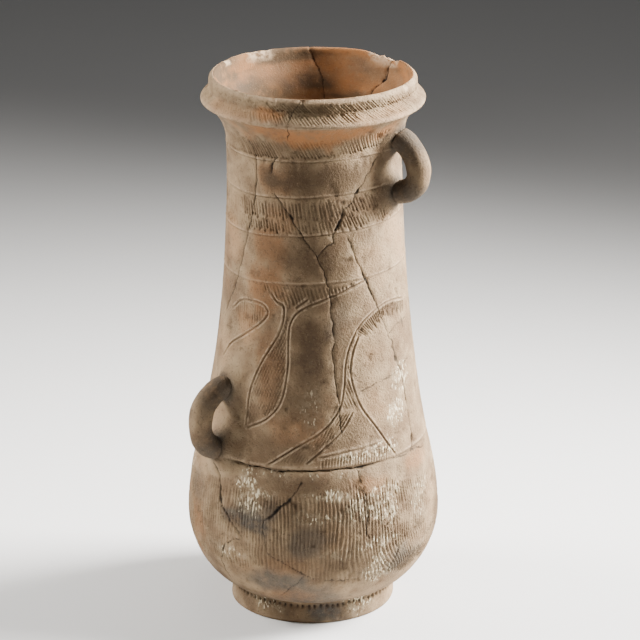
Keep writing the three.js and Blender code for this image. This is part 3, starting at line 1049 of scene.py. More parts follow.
    def strokes_kept(self, skin: Skin) -> np.ndarray:
        """How much of the stroke rows is left after handling and wear.

        Args:
            skin: places on the wall.

        Returns:
            The share left at each place, from 0 to 1.
        """
        patchy = np.clip(0.85 + 0.6 * Noise(5).at(skin.points, 20.0, 2), 0.2, 1.0)
        kept = 1.0 - 0.4 * bell(skin.azimuth + 4.0, 5.0) * ease(311.0, 318.0, skin.level)
        kept = np.where(skin.level > self.outline.hatch_top + 3.0, 1.0, kept)
        on_rim = 0.5 + 0.5 * ease(-40.0, -5.0, skin.azimuth)
        return patchy * np.where(skin.level > self.outline.collar_bottom, on_rim, kept)

    def broken(self, skin: Skin) -> tuple[np.ndarray, np.ndarray]:
        """The old breaks and the open joint at the shoulder.

        Args:
            skin: places on the wall.

        Returns:
            The depth in millimetres, and the darkness from 0 to 1.
        """
        fissure, crack = self.shoulder_gap(skin)
        for fault in BREAKS:
            depth, dark = fault.open(skin)
            fissure = np.maximum(fissure, depth)
            crack = np.maximum(crack, dark)
        return fissure, crack

    def shoulder_gap(self, skin: Skin) -> tuple[np.ndarray, np.ndarray]:
        """The joint of belly and body where it has come open at the front.

        Args:
            skin: places on the wall.

        Returns:
            The depth in millimetres, and the darkness from 0 to 1.
        """
        depth = np.zeros(len(skin.level))
        close = (np.abs(skin.level - 135.2) < 6.0) & (np.abs(skin.azimuth) < 50.0)
        depth[close] = self.gap_near(skin.part(close))
        return 1.6 * depth, np.clip(1.1 * depth, 0.0, 1.0)

    def gap_near(self, skin: Skin) -> np.ndarray:
        """How open the joint is at places near it, from 0 to 1.

        Args:
            skin: places near the joint.

        Returns:
            The share at each place.
        """
        open_part = ease(-44.0, -36.0, skin.azimuth) * (1.0 - ease(26.0, 38.0, skin.azimuth))
        level = 135.2 + 0.9 * np.sin(np.radians(skin.azimuth * 2.2)) + Noise(34).at(skin.points, 6.0, 3) * 0.9
        width = 0.8 + 0.75 * np.clip(Noise(35).at(skin.points, 9.0, 3), -0.7, 1.0)
        return (1.0 - ease(0.35, 1.1, np.abs(skin.level - level) / width)) * open_part


def places_of(piece: bpy.types.Object) -> np.ndarray:
    """The piece's vertices in millimetres, one row each.

    Args:
        piece: a mesh object.

    Returns:
        The places.
    """
    flat = np.empty(len(piece.data.vertices) * 3, np.float32)
    piece.data.vertices.foreach_get("co", flat)
    return flat.reshape(-1, 3).astype(float) / MM


def put_places(piece: bpy.types.Object, places: np.ndarray) -> None:
    """Moves the piece's vertices to these places, given in millimetres."""
    piece.data.vertices.foreach_set("co", (places * MM).astype(np.float32).ravel())
    piece.data.update()


def normals_of(piece: bpy.types.Object) -> np.ndarray:
    """The piece's vertex normals, one row each.

    Args:
        piece: a mesh object.

    Returns:
        The normals.
    """
    flat = np.empty(len(piece.data.vertices) * 3, np.float32)
    piece.data.vertex_normals.foreach_get("vector", flat)
    return flat.reshape(-1, 3).astype(float)


def select_only(piece: bpy.types.Object) -> None:
    """Deselects everything and makes the piece the active object.

    Args:
        piece: the object to work on.
    """
    bpy.ops.object.select_all(action="DESELECT")
    piece.select_set(True)
    bpy.context.view_layer.objects.active = piece


@dataclass(frozen=True)
class Chip:
    """A piece lost from the lip: its azimuth, its length along the lip, and how far it cuts down."""

    azimuth: float
    length: float
    depth: float
    reach: float = 7.0

    def bite(self, azimuth: np.ndarray, level: np.ndarray, outline: Outline) -> np.ndarray:
        """How strongly the chip bites at each place.

        Args:
            azimuth: azimuths in degrees.
            level: levels in millimetres.
            outline: the jar's profile.

        Returns:
            A share from 0 to 1.
        """
        aside = np.abs(np.radians(turn_between(azimuth, self.azimuth) - self.azimuth)) * outline.lip_radius
        share = 1.0 - ease(0.5, 1.0, aside / (self.length / 2))
        return share * ease(outline.rim - self.reach, outline.rim - 0.5, level)


CHIPS = (
    Chip(133.0, 42.0, 2.2), Chip(-146.0, 26.0, 1.1), Chip(122.0, 8.0, 3.0), Chip(-118.0, 9.0, 0.8),
    Chip(-22.0, 6.0, 0.6), Chip(62.0, 7.0, 0.7),
)


SCARS = (Chip(-146.5, 27.0, 0.0, 11.0), Chip(131.0, 40.0, 0.0, 12.0))


@dataclass(frozen=True)
class Body:
    """The jar's hollow body: foot, belly, tapering shaft, neck, collar and lip, spun from one profile."""

    outline: Outline
    decoration: Decoration
    turns: int = 720
    front_share: float = 0.42
    inner_unevenness: float = 0.8
    rim_tilt: float = 0.7

    def model(self) -> bpy.types.Object:
        """Spins the profile into a closed shell and gives it its relief.

        Returns:
            The body, as a mesh object.
        """
        points = [(radius * MM, level * MM) for radius, level in self.outline.outer_points()]
        points += [(radius * MM, level * MM) for radius, level in self.outline.inner_points()]
        bpy.ops.object.select_all(action="DESELECT")
        bpy.ops.mesh.primitive_plane_add(size=MM)
        piece = bpy.context.object
        piece.name = "earthenware_jar"
        bpy.ops.object.mode_set(mode="EDIT")
        bpy.ops.mesh.select_mode(type="VERT")
        bpy.ops.mesh.select_all(action="SELECT")
        bpy.ops.mesh.merge(type="CENTER")
        bpy.ops.transform.translate(value=(points[0][0], 0.0, points[0][1]))
        for start, end in zip(points, points[1:]):
            step = (end[0] - start[0], 0.0, end[1] - start[1])
            bpy.ops.mesh.extrude_region_move(TRANSFORM_OT_translate={"value": step})
        bpy.ops.object.mode_set(mode="OBJECT")
        select_only(piece)
        turn = piece.modifiers.new("turn", "SCREW")
        turn.steps = self.turns
        turn.render_steps = self.turns
        turn.use_merge_vertices = True
        turn.merge_threshold = 0.02 * MM
        turn.use_normal_calculate = True
        bpy.ops.object.modifier_apply(modifier=turn.name)
        self.shape(piece)
        return piece

    def outside(self, level: np.ndarray, radius: np.ndarray) -> np.ndarray:
        """Whether each place belongs to the outer wall or the underside.

        Args:
            level: heights in millimetres.
            radius: distances from the axis.

        Returns:
            True for each outer place.
        """
        outline = self.outline
        wall_middle = outline.wall_radius(level) - outline.wall / 2
        lip_middle = outline.lip_radius - outline.lip_wall * 0.55
        middle = np.where(level > outline.collar_bottom, lip_middle, wall_middle)
        under = level < outline.foot_recess + outline.floor_thickness * 0.4
        return (radius > middle) | under

    def skin(self, places: np.ndarray) -> Skin:
        """The places in the jar's own terms of azimuth, level and radius.

        Args:
            places: points in millimetres.

        Returns:
            The skin they make up.
        """
        x = places[:, 0] - self.outline.sway(places[:, 2])
        azimuth = np.degrees(np.arctan2(x, -places[:, 1]))
        return Skin(azimuth, places[:, 2], np.hypot(x, places[:, 1]), places)

    def shape(self, piece: bpy.types.Object) -> None:
        """Crowds the columns towards the front, sways the shaft and raises the relief along the normals.

        Args:
            piece: the plain spun shell.
        """
        places = places_of(piece)
        turn = np.arctan2(places[:, 0], -places[:, 1])
        turn = turn - self.front_share * np.sin(turn)
        radius = np.hypot(places[:, 0], places[:, 1])
        places[:, 0] = radius * np.sin(turn)
        places[:, 1] = -radius * np.cos(turn)
        put_places(piece, places)
        normals = normals_of(piece)
        places[:, 0] += self.outline.sway(places[:, 2])
        skin = self.skin(places)
        outer = self.outside(skin.level, skin.radius)
        height = np.zeros(len(places))
        wall = skin.part(outer)
        height[outer] = self.decoration.relief(wall).height * ease(0.5, 3.0, wall.level)
        inner = skin.part(~outer)
        height[~outer] = self.inner_height(inner)
        places += normals * height[:, None]
        places[:, 2] -= self.lost_rim(skin)
        put_places(piece, places)

    def inner_height(self, skin: Skin) -> np.ndarray:
        """Height of the inner wall's relief: the hand-built unevenness, wiping and the cracks below the lip.

        Args:
            skin: places on the inner wall.

        Returns:
            The height at each place, in millimetres.
        """
        lip = ease(0.0, 5.0, self.outline.rim - skin.level)
        seen = ease(300.0, 360.0, skin.level)
        uneven = Noise(6).at(skin.points, 34.0, 2) * self.inner_unevenness
        wiped = Noise(7).at(skin.points * (0.6, 0.6, 5.0), 30.0, 2) * 0.16 * seen
        fissure = np.zeros(len(skin.level))
        for fault in MOUTH_BREAKS:
            fissure = np.maximum(fissure, fault.open(skin)[0])
        return (uneven + wiped) * lip - fissure

    def lost_rim(self, skin: Skin) -> np.ndarray:
        """How far each place at the lip sinks, from its slight tilt, its dips and its chips, in millimetres.

        Args:
            skin: places on both walls.

        Returns:
            The drop at each place.
        """
        outline = self.outline
        near_rim = ease(outline.collar_bottom, outline.rim, skin.level)
        tilt = -self.rim_tilt * np.cos(np.radians(skin.azimuth)) * near_rim
        dips = (0.35 + 0.45 * Noise(8).at(skin.points * (1.0, 1.0, 0.0), 34.0, 2)) * near_rim
        rough = 0.75 + 0.45 * Noise(9).at(skin.points, 4.0, 2)
        chipped = np.zeros(len(skin.level))
        for chip in CHIPS:
            chipped = np.maximum(chipped, chip.depth * rough * chip.bite(skin.azimuth, skin.level, outline))
        return tilt + dips + chipped


@dataclass(frozen=True)
class Handle:
    """A loop handle: one round coil of clay luted to the wall at both ends. Lengths are in millimetres."""

    name: str
    azimuth: float
    middle: float
    height: float
    reach: float
    peak: float
    thickness: float = 17.5
    root_flare: float = 1.3
    smear: float = 16.0
    smear_height: float = 5.2
    sides: int = 72
    steps: int = 80
    unevenness: float = 0.55

    def centre_line(self, outline: Outline) -> np.ndarray:
        """The coil's centre line from its lower root to its upper one, one point a step.

        Args:
            outline: the jar's profile.

        Returns:
            The points in millimetres, one row each.
        """
        span = self.height - self.thickness
        peak_level = self.middle - span / 2 + span * self.peak
        bury = outline.wall / 2
        stand_off = self.reach - self.thickness / 2 + bury
        bend = np.linspace(-math.pi / 2, math.pi / 2, self.steps + 1)
        half = np.where(bend > 0, span * (1.0 - self.peak), span * self.peak)
        level = peak_level + half * np.sin(bend)
        out = stand_off * np.abs(np.cos(bend)) ** 0.76 - bury
        radius = outline.wall_radius(level) + out
        turn = math.radians(self.azimuth)
        across = radius * math.sin(turn) + outline.sway(level)
        return np.column_stack([across, -radius * math.cos(turn), level])

    def model(self, outline: Outline) -> bpy.types.Object:
        """Rolls a straight coil, extruded step by step, and bends it along its centre line.

        Args:
            outline: the jar's profile.

        Returns:
            The coil, as a mesh object.
        """
        bpy.ops.object.select_all(action="DESELECT")
        radius = self.thickness * MM / 2
        bpy.ops.mesh.primitive_circle_add(vertices=self.sides, radius=radius, fill_type="NGON")
        piece = bpy.context.object
        piece.name = self.name
        bpy.ops.object.mode_set(mode="EDIT")
        bpy.ops.mesh.select_all(action="SELECT")
        for _ in range(self.steps):
            bpy.ops.mesh.extrude_region_move(TRANSFORM_OT_translate={"value": (0.0, 0.0, MM)})
        bpy.ops.mesh.select_all(action="SELECT")
        bpy.ops.mesh.normals_make_consistent(inside=False)
        bpy.ops.object.mode_set(mode="OBJECT")
        self.bend(piece, outline)
        return piece

    def bend(self, piece: bpy.types.Object, outline: Outline) -> None:
        """Bends the straight coil, whose height counts the steps, and leaves finger marks on it.

        Args:
            piece: the straight coil.
            outline: the jar's profile.
        """
        straight = places_of(piece)
        step = np.clip(np.rint(straight[:, 2]).astype(int), 0, self.steps)
        line = self.centre_line(outline)
        along = np.gradient(line, axis=0)
        along /= np.linalg.norm(along, axis=1)[:, None]
        turn = math.radians(self.azimuth)
        aside = np.array([math.cos(turn), math.sin(turn), 0.0])
        outward = np.cross(aside, along)
        to_root = np.abs(step / self.steps * 2.0 - 1.0)
        swell = 1.0 + (self.root_flare - 1.0) * to_root**6
        bent = line[step] + swell[:, None] * (straight[:, :1] * aside + straight[:, 1:2] * outward[step])
        put_places(piece, bent)
        pressed = Noise(81).at(bent, 13.0, 2) * self.unevenness + Noise(82).at(bent, 30.0) * 0.5
        drawn = Noise(83).at(np.column_stack([straight[:, :2] * 1.6, step * 0.35]), 3.2, 2) * 0.16
        across = bent[:, 0] - outline.sway(bent[:, 2])
        off_wall = np.hypot(across, bent[:, 1]) - outline.wall_radius(bent[:, 2])
        swollen = pressed + drawn + 0.55 * self.smeared(off_wall)
        put_places(piece, bent + normals_of(piece) * swollen[:, None])

    def smeared(self, distance: np.ndarray) -> np.ndarray:
        """How far the clay of wall or coil is drawn out at a distance from the other, in millimetres."""
        return self.smear_height * np.clip(1.0 - np.clip(distance, 0.0, None) / self.smear, 0.0, 1.0) ** 4

    def smoke_and_shade(self, places: np.ndarray, outline: Outline) -> np.ndarray:
        """How dark each place is near the coil's two roots, from 0 to 1: soot, and painted shade under the
        roots and on the wall round them.

        Args:
            places: points in millimetres.
            outline: the jar's profile.

        Returns:
            The strength at each place.
        """
        line = self.centre_line(outline)
        reach = self.thickness * (1.15 + 0.3 * Noise(84).at(places, 9.0, 2))
        smoke_and_shade = np.zeros(len(places))
        for root in (line[self.steps // 6], line[-1 - self.steps // 6]):
            apart = np.linalg.norm(places - root, axis=1)
            smoke_and_shade = np.maximum(smoke_and_shade, 1.0 - ease(0.4, 1.3, apart / reach))
        return smoke_and_shade

    def nearness(self, places: np.ndarray, outline: Outline) -> np.ndarray:
        """Distance of each place from the coil's surface in millimetres, negative inside it.

        Args:
            places: points in millimetres.
            outline: the jar's profile.

        Returns:
            The distances, large far away.
        """
        line = self.centre_line(outline)
        best = np.full(len(places), 1e3)
        low = line.min(axis=0) - 2.0 * self.thickness
        high = line.max(axis=0) + 2.0 * self.thickness
        close = np.all((places > low) & (places < high), axis=1)
        for step, centre in enumerate(line):
            to_root = abs(step / self.steps * 2.0 - 1.0)
            radius = self.thickness / 2 * (1.0 + (self.root_flare - 1.0) * to_root**6)
            apart = np.linalg.norm(places[close] - centre, axis=1) - radius
            best[close] = np.minimum(best[close], apart)
        return best


@dataclass(frozen=True)
class Jar:
    """The whole jar, fired as one piece: its body with both handles luted on."""

    body: Body
    handles: tuple[Handle, ...]
    triangles: int = 192_000
    lute_width: float = 6.0
    lute_passes: int = 24

    def build(self) -> bpy.types.Object:
        """Models the body and the handles, joins them, smooths the joints and thins the mesh.

        Returns:
            The finished piece.
        """
        piece = self.body.model()
        LOG.info("body spun: %d faces", len(piece.data.polygons))
        for handle in self.handles:
            coil = handle.model(self.body.outline)
            self.draw_out(piece, handle)
            self.lute(piece, coil, handle)
            LOG.info("%s luted on", handle.name)
        self.thin(piece)
        select_only(piece)
        bpy.ops.object.shade_smooth()
        return piece

    def draw_out(self, piece: bpy.types.Object, handle: Handle) -> None:
        """Draws the wall's clay out round a handle's roots.

        Args:
            piece: the jar so far.
            handle: the handle's sizes and place.
        """
        places = places_of(piece)
        skin = self.body.skin(places)
        outer = self.body.outside(skin.level, skin.radius)
        drawn = handle.smeared(handle.nearness(places, self.body.outline)) * outer
        put_places(piece, places + normals_of(piece) * drawn[:, None])

    def lute(self, piece: bpy.types.Object, coil: bpy.types.Object, handle: Handle) -> None:
        """Joins a coil to the body and smooths the clay round the seam.

        Args:
            piece: the body, which takes the coil in.
            coil: the modelled coil, which is used up.
            handle: the coil's sizes and place.
        """
        select_only(piece)
        union = piece.modifiers.new("lute", "BOOLEAN")
        union.operation = "UNION"
        union.solver = "MANIFOLD"
        union.object = coil
        bpy.ops.object.modifier_apply(modifier=union.name)
        bpy.data.objects.remove(coil)
        places = places_of(piece)
        skin = self.body.skin(places)
        from_wall = np.abs(skin.radius - self.body.outline.wall_radius(skin.level))
        from_coil = np.abs(handle.nearness(places, self.body.outline))
        seam = (from_wall < self.lute_width) & (from_coil < self.lute_width)
        self.select_places(piece, seam)
        bpy.ops.object.mode_set(mode="EDIT")
        bpy.ops.mesh.select_mode(type="VERT")
        bpy.ops.mesh.vertices_smooth(factor=0.5, repeat=self.lute_passes)
        bpy.ops.object.mode_set(mode="OBJECT")

    def select_places(self, piece: bpy.types.Object, chosen: np.ndarray) -> None:
        """Selects the chosen vertices alone.

        Args:
            piece: a mesh object.
            chosen: True for each one chosen.
        """
        mesh = piece.data
        mesh.polygons.foreach_set("select", np.zeros(len(mesh.polygons), bool))
        mesh.edges.foreach_set("select", np.zeros(len(mesh.edges), bool))
        mesh.vertices.foreach_set("select", chosen)
        mesh.update()

    def thin(self, piece: bpy.types.Object) -> None:
        """Collapses edges where the clay is smooth until the piece is within its triangles.

        Args:
            piece: the joined jar.
        """
        select_only(piece)
        sides = np.empty(len(piece.data.polygons), np.int32)
        piece.data.polygons.foreach_get("loop_total", sides)
        before = int((sides - 2).sum())
        collapse = piece.modifiers.new("thin", "DECIMATE")
        collapse.ratio = min(1.0, self.triangles / before)
        collapse.use_collapse_triangulate = True
        bpy.ops.object.modifier_apply(modifier=collapse.name)
        LOG.info("thinned from %d to %d triangles", before, len(piece.data.polygons))


@dataclass(frozen=True)
class FiredClay:
    """The jar's finish: low-fired clay with fire clouds, dirt and painted shade in the strokes, painted
    highlight on burrs and edges, painted shade in the pricks, the mouth and round the handles, lime deposits
    and dark breaks.

    Colours are linear red, green and blue.
    """

    buff: tuple[float, float, float] = (0.240, 0.172, 0.100)
    brown: tuple[float, float, float] = (0.125, 0.080, 0.044)
    terracotta: tuple[float, float, float] = (0.265, 0.112, 0.038)
    # Umber: the clay's dark tone, also painted shade down the front's middle and at the handles.
    umber_and_shade: tuple[float, float, float] = (0.066, 0.040, 0.020)
    # Soot grey: fire clouds, also painted shade in the mouth and on the handles.
    soot_and_shade: tuple[float, float, float] = (0.040, 0.040, 0.037)
    # Dirt brown: pits and dirt, also painted shade in cuts, cord marks and dents.
    dirt_and_shade: tuple[float, float, float] = (0.045, 0.028, 0.016)
    lime: tuple[float, float, float] = (0.54, 0.46, 0.31)
    # Worn clay: rubbed places and grit, also painted highlight on burrs and the collar's lower edge.
    worn: tuple[float, float, float] = (0.40, 0.295, 0.19)
    # Gap black: the breaks, also painted shade in the pricks.
    gap_and_shade: tuple[float, float, float] = (0.008, 0.006, 0.004)

    def paint(self, piece: bpy.types.Object, jar: Jar) -> None:
        """Stores on each vertex what the clay is like there, painted shade and highlight among it: three
        masks of relief and three of colour.

        Args:
            piece: the finished jar.
            jar: its sizes.
        """
        body = jar.body
        places = places_of(piece)
        skin = body.skin(places)
        outer = body.outside(skin.level, skin.radius)
        on_coil = self.coil_share(places, skin, jar)
        smoky = 0.05 + 0.4 * Noise(92).at(places, 16.0, 2)
        # Darker on coil faces turned to the front: soot, and painted shade on the side the lamps leave dark.
        facing = ease(-0.3, 0.8, -normals_of(piece)[:, 1])
        smoke_and_shade = np.clip(on_coil * smoky * facing, 0.0, 1.0)
        # Darker round each handle's roots, on coil and wall: soot, and painted shade where coil and wall
        # meet.
        for handle in jar.handles:
            smoke_and_shade = np.maximum(smoke_and_shade, handle.smoke_and_shade(places, body.outline) * outer * (0.55 + 0.45 * on_coil))
        clay = self.relief_masks(skin, outer, on_coil, body)
        tint = self.colour_masks(skin, outer, on_coil, smoke_and_shade, body.outline)
        for name, values in (("clay", clay), ("tint", tint)):
            layer = piece.data.attributes.new(name, "FLOAT_COLOR", "POINT")
            layer.data.foreach_set("color", values.ravel())

    def coil_share(self, places: np.ndarray, skin: Skin, jar: Jar) -> np.ndarray:
        """How far each place lies on a handle's coil and not on the wall, from 0 to 1.

        Args:
            places: the points, in millimetres.
            skin: the same points as places on the wall.
            jar: its sizes.

        Returns:
            The share at each place.
        """
        on_coil = np.zeros(len(places))
        off_wall = skin.radius - jar.body.outline.wall_radius(skin.level)
        for handle in jar.handles:
            near = 1.0 - ease(0.0, 3.0, handle.nearness(places, jar.body.outline))
            on_coil = np.maximum(on_coil, near * ease(0.5, 3.0, off_wall))
        return on_coil

    def relief_masks(self, skin: Skin, outer: np.ndarray, on_coil: np.ndarray, body: Body) -> np.ndarray:
        """The masks that follow the relief.

        Args:
            skin: places on both walls.
            outer: which of them lie outside.
            on_coil: how far they lie on a handle.
            body: the body's sizes.

        Returns:
            Crack darkness with painted shade in the pricks, recess dirt with painted shade, wear with painted
            highlight, and roughness at each place, from 0 to 1.
        """
        clay = np.zeros((len(skin.level), 4), np.float32)
        bare = 1.0 - on_coil
        relief = body.decoration.relief(skin.part(outer))
        clay[outer, 0] = relief.crack * bare[outer]
        clay[outer, 1] = relief.recess * bare[outer]
        clay[outer, 2] = relief.wear * bare[outer]
        for fault in MOUTH_BREAKS:
            dark = fault.open(skin.part(~outer))[1]
            clay[~outer, 0] = np.maximum(clay[~outer, 0], dark)
        bitten = np.zeros(len(skin.level))
        for chip in CHIPS:
            bitten = np.maximum(bitten, chip.bite(skin.azimuth, skin.level, body.outline))
        for scar in SCARS:
            bitten = np.maximum(bitten, scar.bite(skin.azimuth, skin.level, body.outline) * ~outer)
        clay[:, 2] = np.clip(clay[:, 2] + 1.6 * ease(0.15, 0.6, bitten), 0.0, 1.0)
        smoothed = bell(skin.level - body.outline.collar_bottom + 7.0, 6.0)
        clay[:, 3] = np.where(outer, 1.0 - 0.6 * smoothed, 0.4)
        return clay

    def colour_masks(
        self, skin: Skin, outer: np.ndarray, on_coil: np.ndarray, smoke_and_shade: np.ndarray, outline: Outline
    ) -> np.ndarray:
        """The masks of colour.

        Args:
            skin: places on both walls.
            outer: which of them lie outside.
            on_coil: how far they lie on a handle.
            smoke_and_shade: how smoked the handles are there, with painted shade on their front faces and
                round their roots.
            outline: the body's profile.

        Returns:
            Grey cloud with painted shade in the mouth and at the handles, terracotta, lime, and umber with
            painted shade down the front's middle and at the handles, at each place, from 0 to 1.
        """
        tint = np.zeros((len(skin.level), 4), np.float32)
        bare = 1.0 - on_coil
        ragged = Noise(91).at(skin.points, 12.0, 3)
        for channel, patches in enumerate((SOOT, GLOW, LIME)):
            tint[:, channel] = spread_of(patches, skin, ragged) * outer * bare
        tint[:, 0] = np.where(outer, tint[:, 0], self.mouth_cloud_and_shade(skin))
        tint[:, 1] = np.where(outer, tint[:, 1], self.mouth_glow(skin, outline))
        # Soot grey on the handles: soot, and painted shade on front faces and at the roots.
        tint[:, 0] = np.maximum(tint[:, 0], 0.7 * smoke_and_shade)
        # Umber, with painted shade down the front's middle and round the handles' roots.
        tint[:, 3] = spread_of(UMBER_AND_SHADE, skin, ragged * 0.8) * bare + 0.15 * on_coil + 0.5 * smoke_and_shade
        inside = Noise(95).at(skin.points * (0.8, 0.8, 2.4), 22.0, 3)
        leftward = -np.sin(np.radians(skin.azimuth))
        inside = np.clip(0.55 + 0.35 * leftward + 0.8 * inside, 0.1, 1.0)
        tint[:, 3] = np.clip(np.where(outer, tint[:, 3], inside), 0.0, 1.0)
        return tint

    def mouth_cloud_and_shade(self, skin: Skin) -> np.ndarray:
        """Grey fire clouds on the inner wall, and painted shade that deepens down the neck towards the dark
        of the belly.

        Args:
            skin: places on both walls.

        Returns:
            The strength at each place, from 0 to 1.
        """
        ragged = Noise(93).at(skin.points * (1.0, 1.0, 1.6), 16.0, 3)
        cloud = spread_of(MOUTH_CLOUDS, skin, ragged)
        # Painted shade: grey deepening down the inner wall below the mouth.
        low = 0.9 * (1.0 - ease(300.0, 385.0, skin.level))
        return np.clip(np.maximum(cloud, low), 0.0, 1.0)

    def mouth_glow(self, skin: Skin, outline: Outline) -> np.ndarray:
        """Salmon-orange clay inside the mouth in level streaks, fading below the neck."""
        streaks = 0.95 + 0.6 * Noise(94).at(skin.points * (0.8, 0.8, 3.0), 30.0, 3)
        return ease(outline.neck - 40.0, outline.collar_bottom, skin.level) * np.clip(streaks, 0.4, 1.25)

    def material(self) -> bpy.types.Material:
        """The procedural clay, mixed from the stored masks and noise on Object coordinates.

        Returns:
            The material.
        """
        bench = Bench("fired_clay", roughness=0.9, specular=0.22)
        grit = bench.noise(1100.0, detail=3.0)
        fine = bench.noise(560.0, detail=5.0)
        speck = bench.noise(230.0, detail=6.0)
        mottle = bench.noise(70.0, detail=6.0)
        cloud = bench.noise(19.0, detail=4.0)
        streak = bench.noise(560.0, detail=4.0, rise=0.4)
        crack, recess, wear, rough = bench.channels("clay")
        soot_and_shade, glow, lime, umber_and_shade = bench.channels("tint")
        patchy = bench.total(mottle, speck)
        colour = bench.mix(bench.window(bench.total(mottle, cloud), 0.75, 1.25), self.brown, self.buff)
        colour = bench.mix(bench.scaled(bench.window(cloud, 0.50, 0.72), 0.18), colour, self.terracotta)
        glowing = bench.product(glow, bench.window(patchy, 0.45, 1.10))
        colour = bench.mix(bench.scaled(glowing, 0.9), colour, self.terracotta)
        # Umber patches, with painted shade down the front's middle and at the handles.
        colour = bench.mix(bench.product(umber_and_shade, bench.window(patchy, 0.35, 1.0)), colour, self.umber_and_shade)
        # Soot grey: fire clouds, with painted shade in the mouth and on the handles.
        smoked_and_shaded = bench.product(soot_and_shade, bench.window(patchy, 0.45, 1.10))
        colour = bench.mix(bench.scaled(smoked_and_shaded, 0.85), colour, self.soot_and_shade)
        # Paler where rubbed, with painted highlight on burrs and the collar's lower edge.
        rubbed_and_highlit = bench.product(wear, bench.window(speck, 0.30, 0.55))
        colour = bench.mix(bench.scaled(rubbed_and_highlit, 0.7), colour, self.worn)
        # Darker in recesses: dirt, and painted shade in cuts, cord marks and dents.
        colour = bench.mix(bench.scaled(recess, 0.58), colour, self.dirt_and_shade)
        haze = bench.product(lime, bench.window(speck, 0.42, 0.60))
        colour = bench.mix(bench.scaled(haze, 0.3), colour, self.lime)
        flecks = bench.window(bench.total(bench.scaled(lime, 0.12), streak), 0.63, 0.67)
        bare_ridge = bench.window(recess, 0.85, 0.3)
        crust = bench.product(bench.product(flecks, bench.window(lime, 0.1, 0.5)), bare_ridge)
        colour = bench.mix(bench.scaled(crust, 0.92), colour, self.lime)
        pitted = bench.product(rough, bench.window(fine, 0.55, 0.66))
        colour = bench.mix(bench.scaled(pitted, 0.45), colour, self.dirt_and_shade)
        colour = bench.mix(bench.scaled(bench.window(grit, 0.60, 0.74), 0.2), colour, self.worn)
        # Near-black in the breaks, and painted shade in the pricks.
        colour = bench.mix(crack, colour, self.gap_and_shade)
        bench.colour_by(colour)
        grain = bench.total(bench.scaled(speck, 0.4), bench.scaled(fine, -0.75))
        grain = bench.total(grain, bench.scaled(grit, 0.6))
        bench.bump_by(bench.product(grain, rough), 0.001, 0.75)
        return bench.material


@dataclass(frozen=True)
class PaleFloor:
    """A plain pale floor."""

    tone: tuple[float, float, float] = (0.62, 0.62, 0.62)

    def material(self) -> bpy.types.Material:
        """The floor's material: pale, with the faintest mottle.

        Returns:
            The material.
        """
        bench = Bench("pale_floor", roughness=0.7, specular=0.3)
        shade = bench.noise(3.0, detail=2.0)
        darker = tuple(value * 0.97 for value in self.tone)
        bench.colour_by(bench.mix(shade, darker, self.tone))
        return bench.material


class Sum(Enum):
    """The sums that a Math node does here."""

    PRODUCT = "MULTIPLY"
    TOTAL = "ADD"


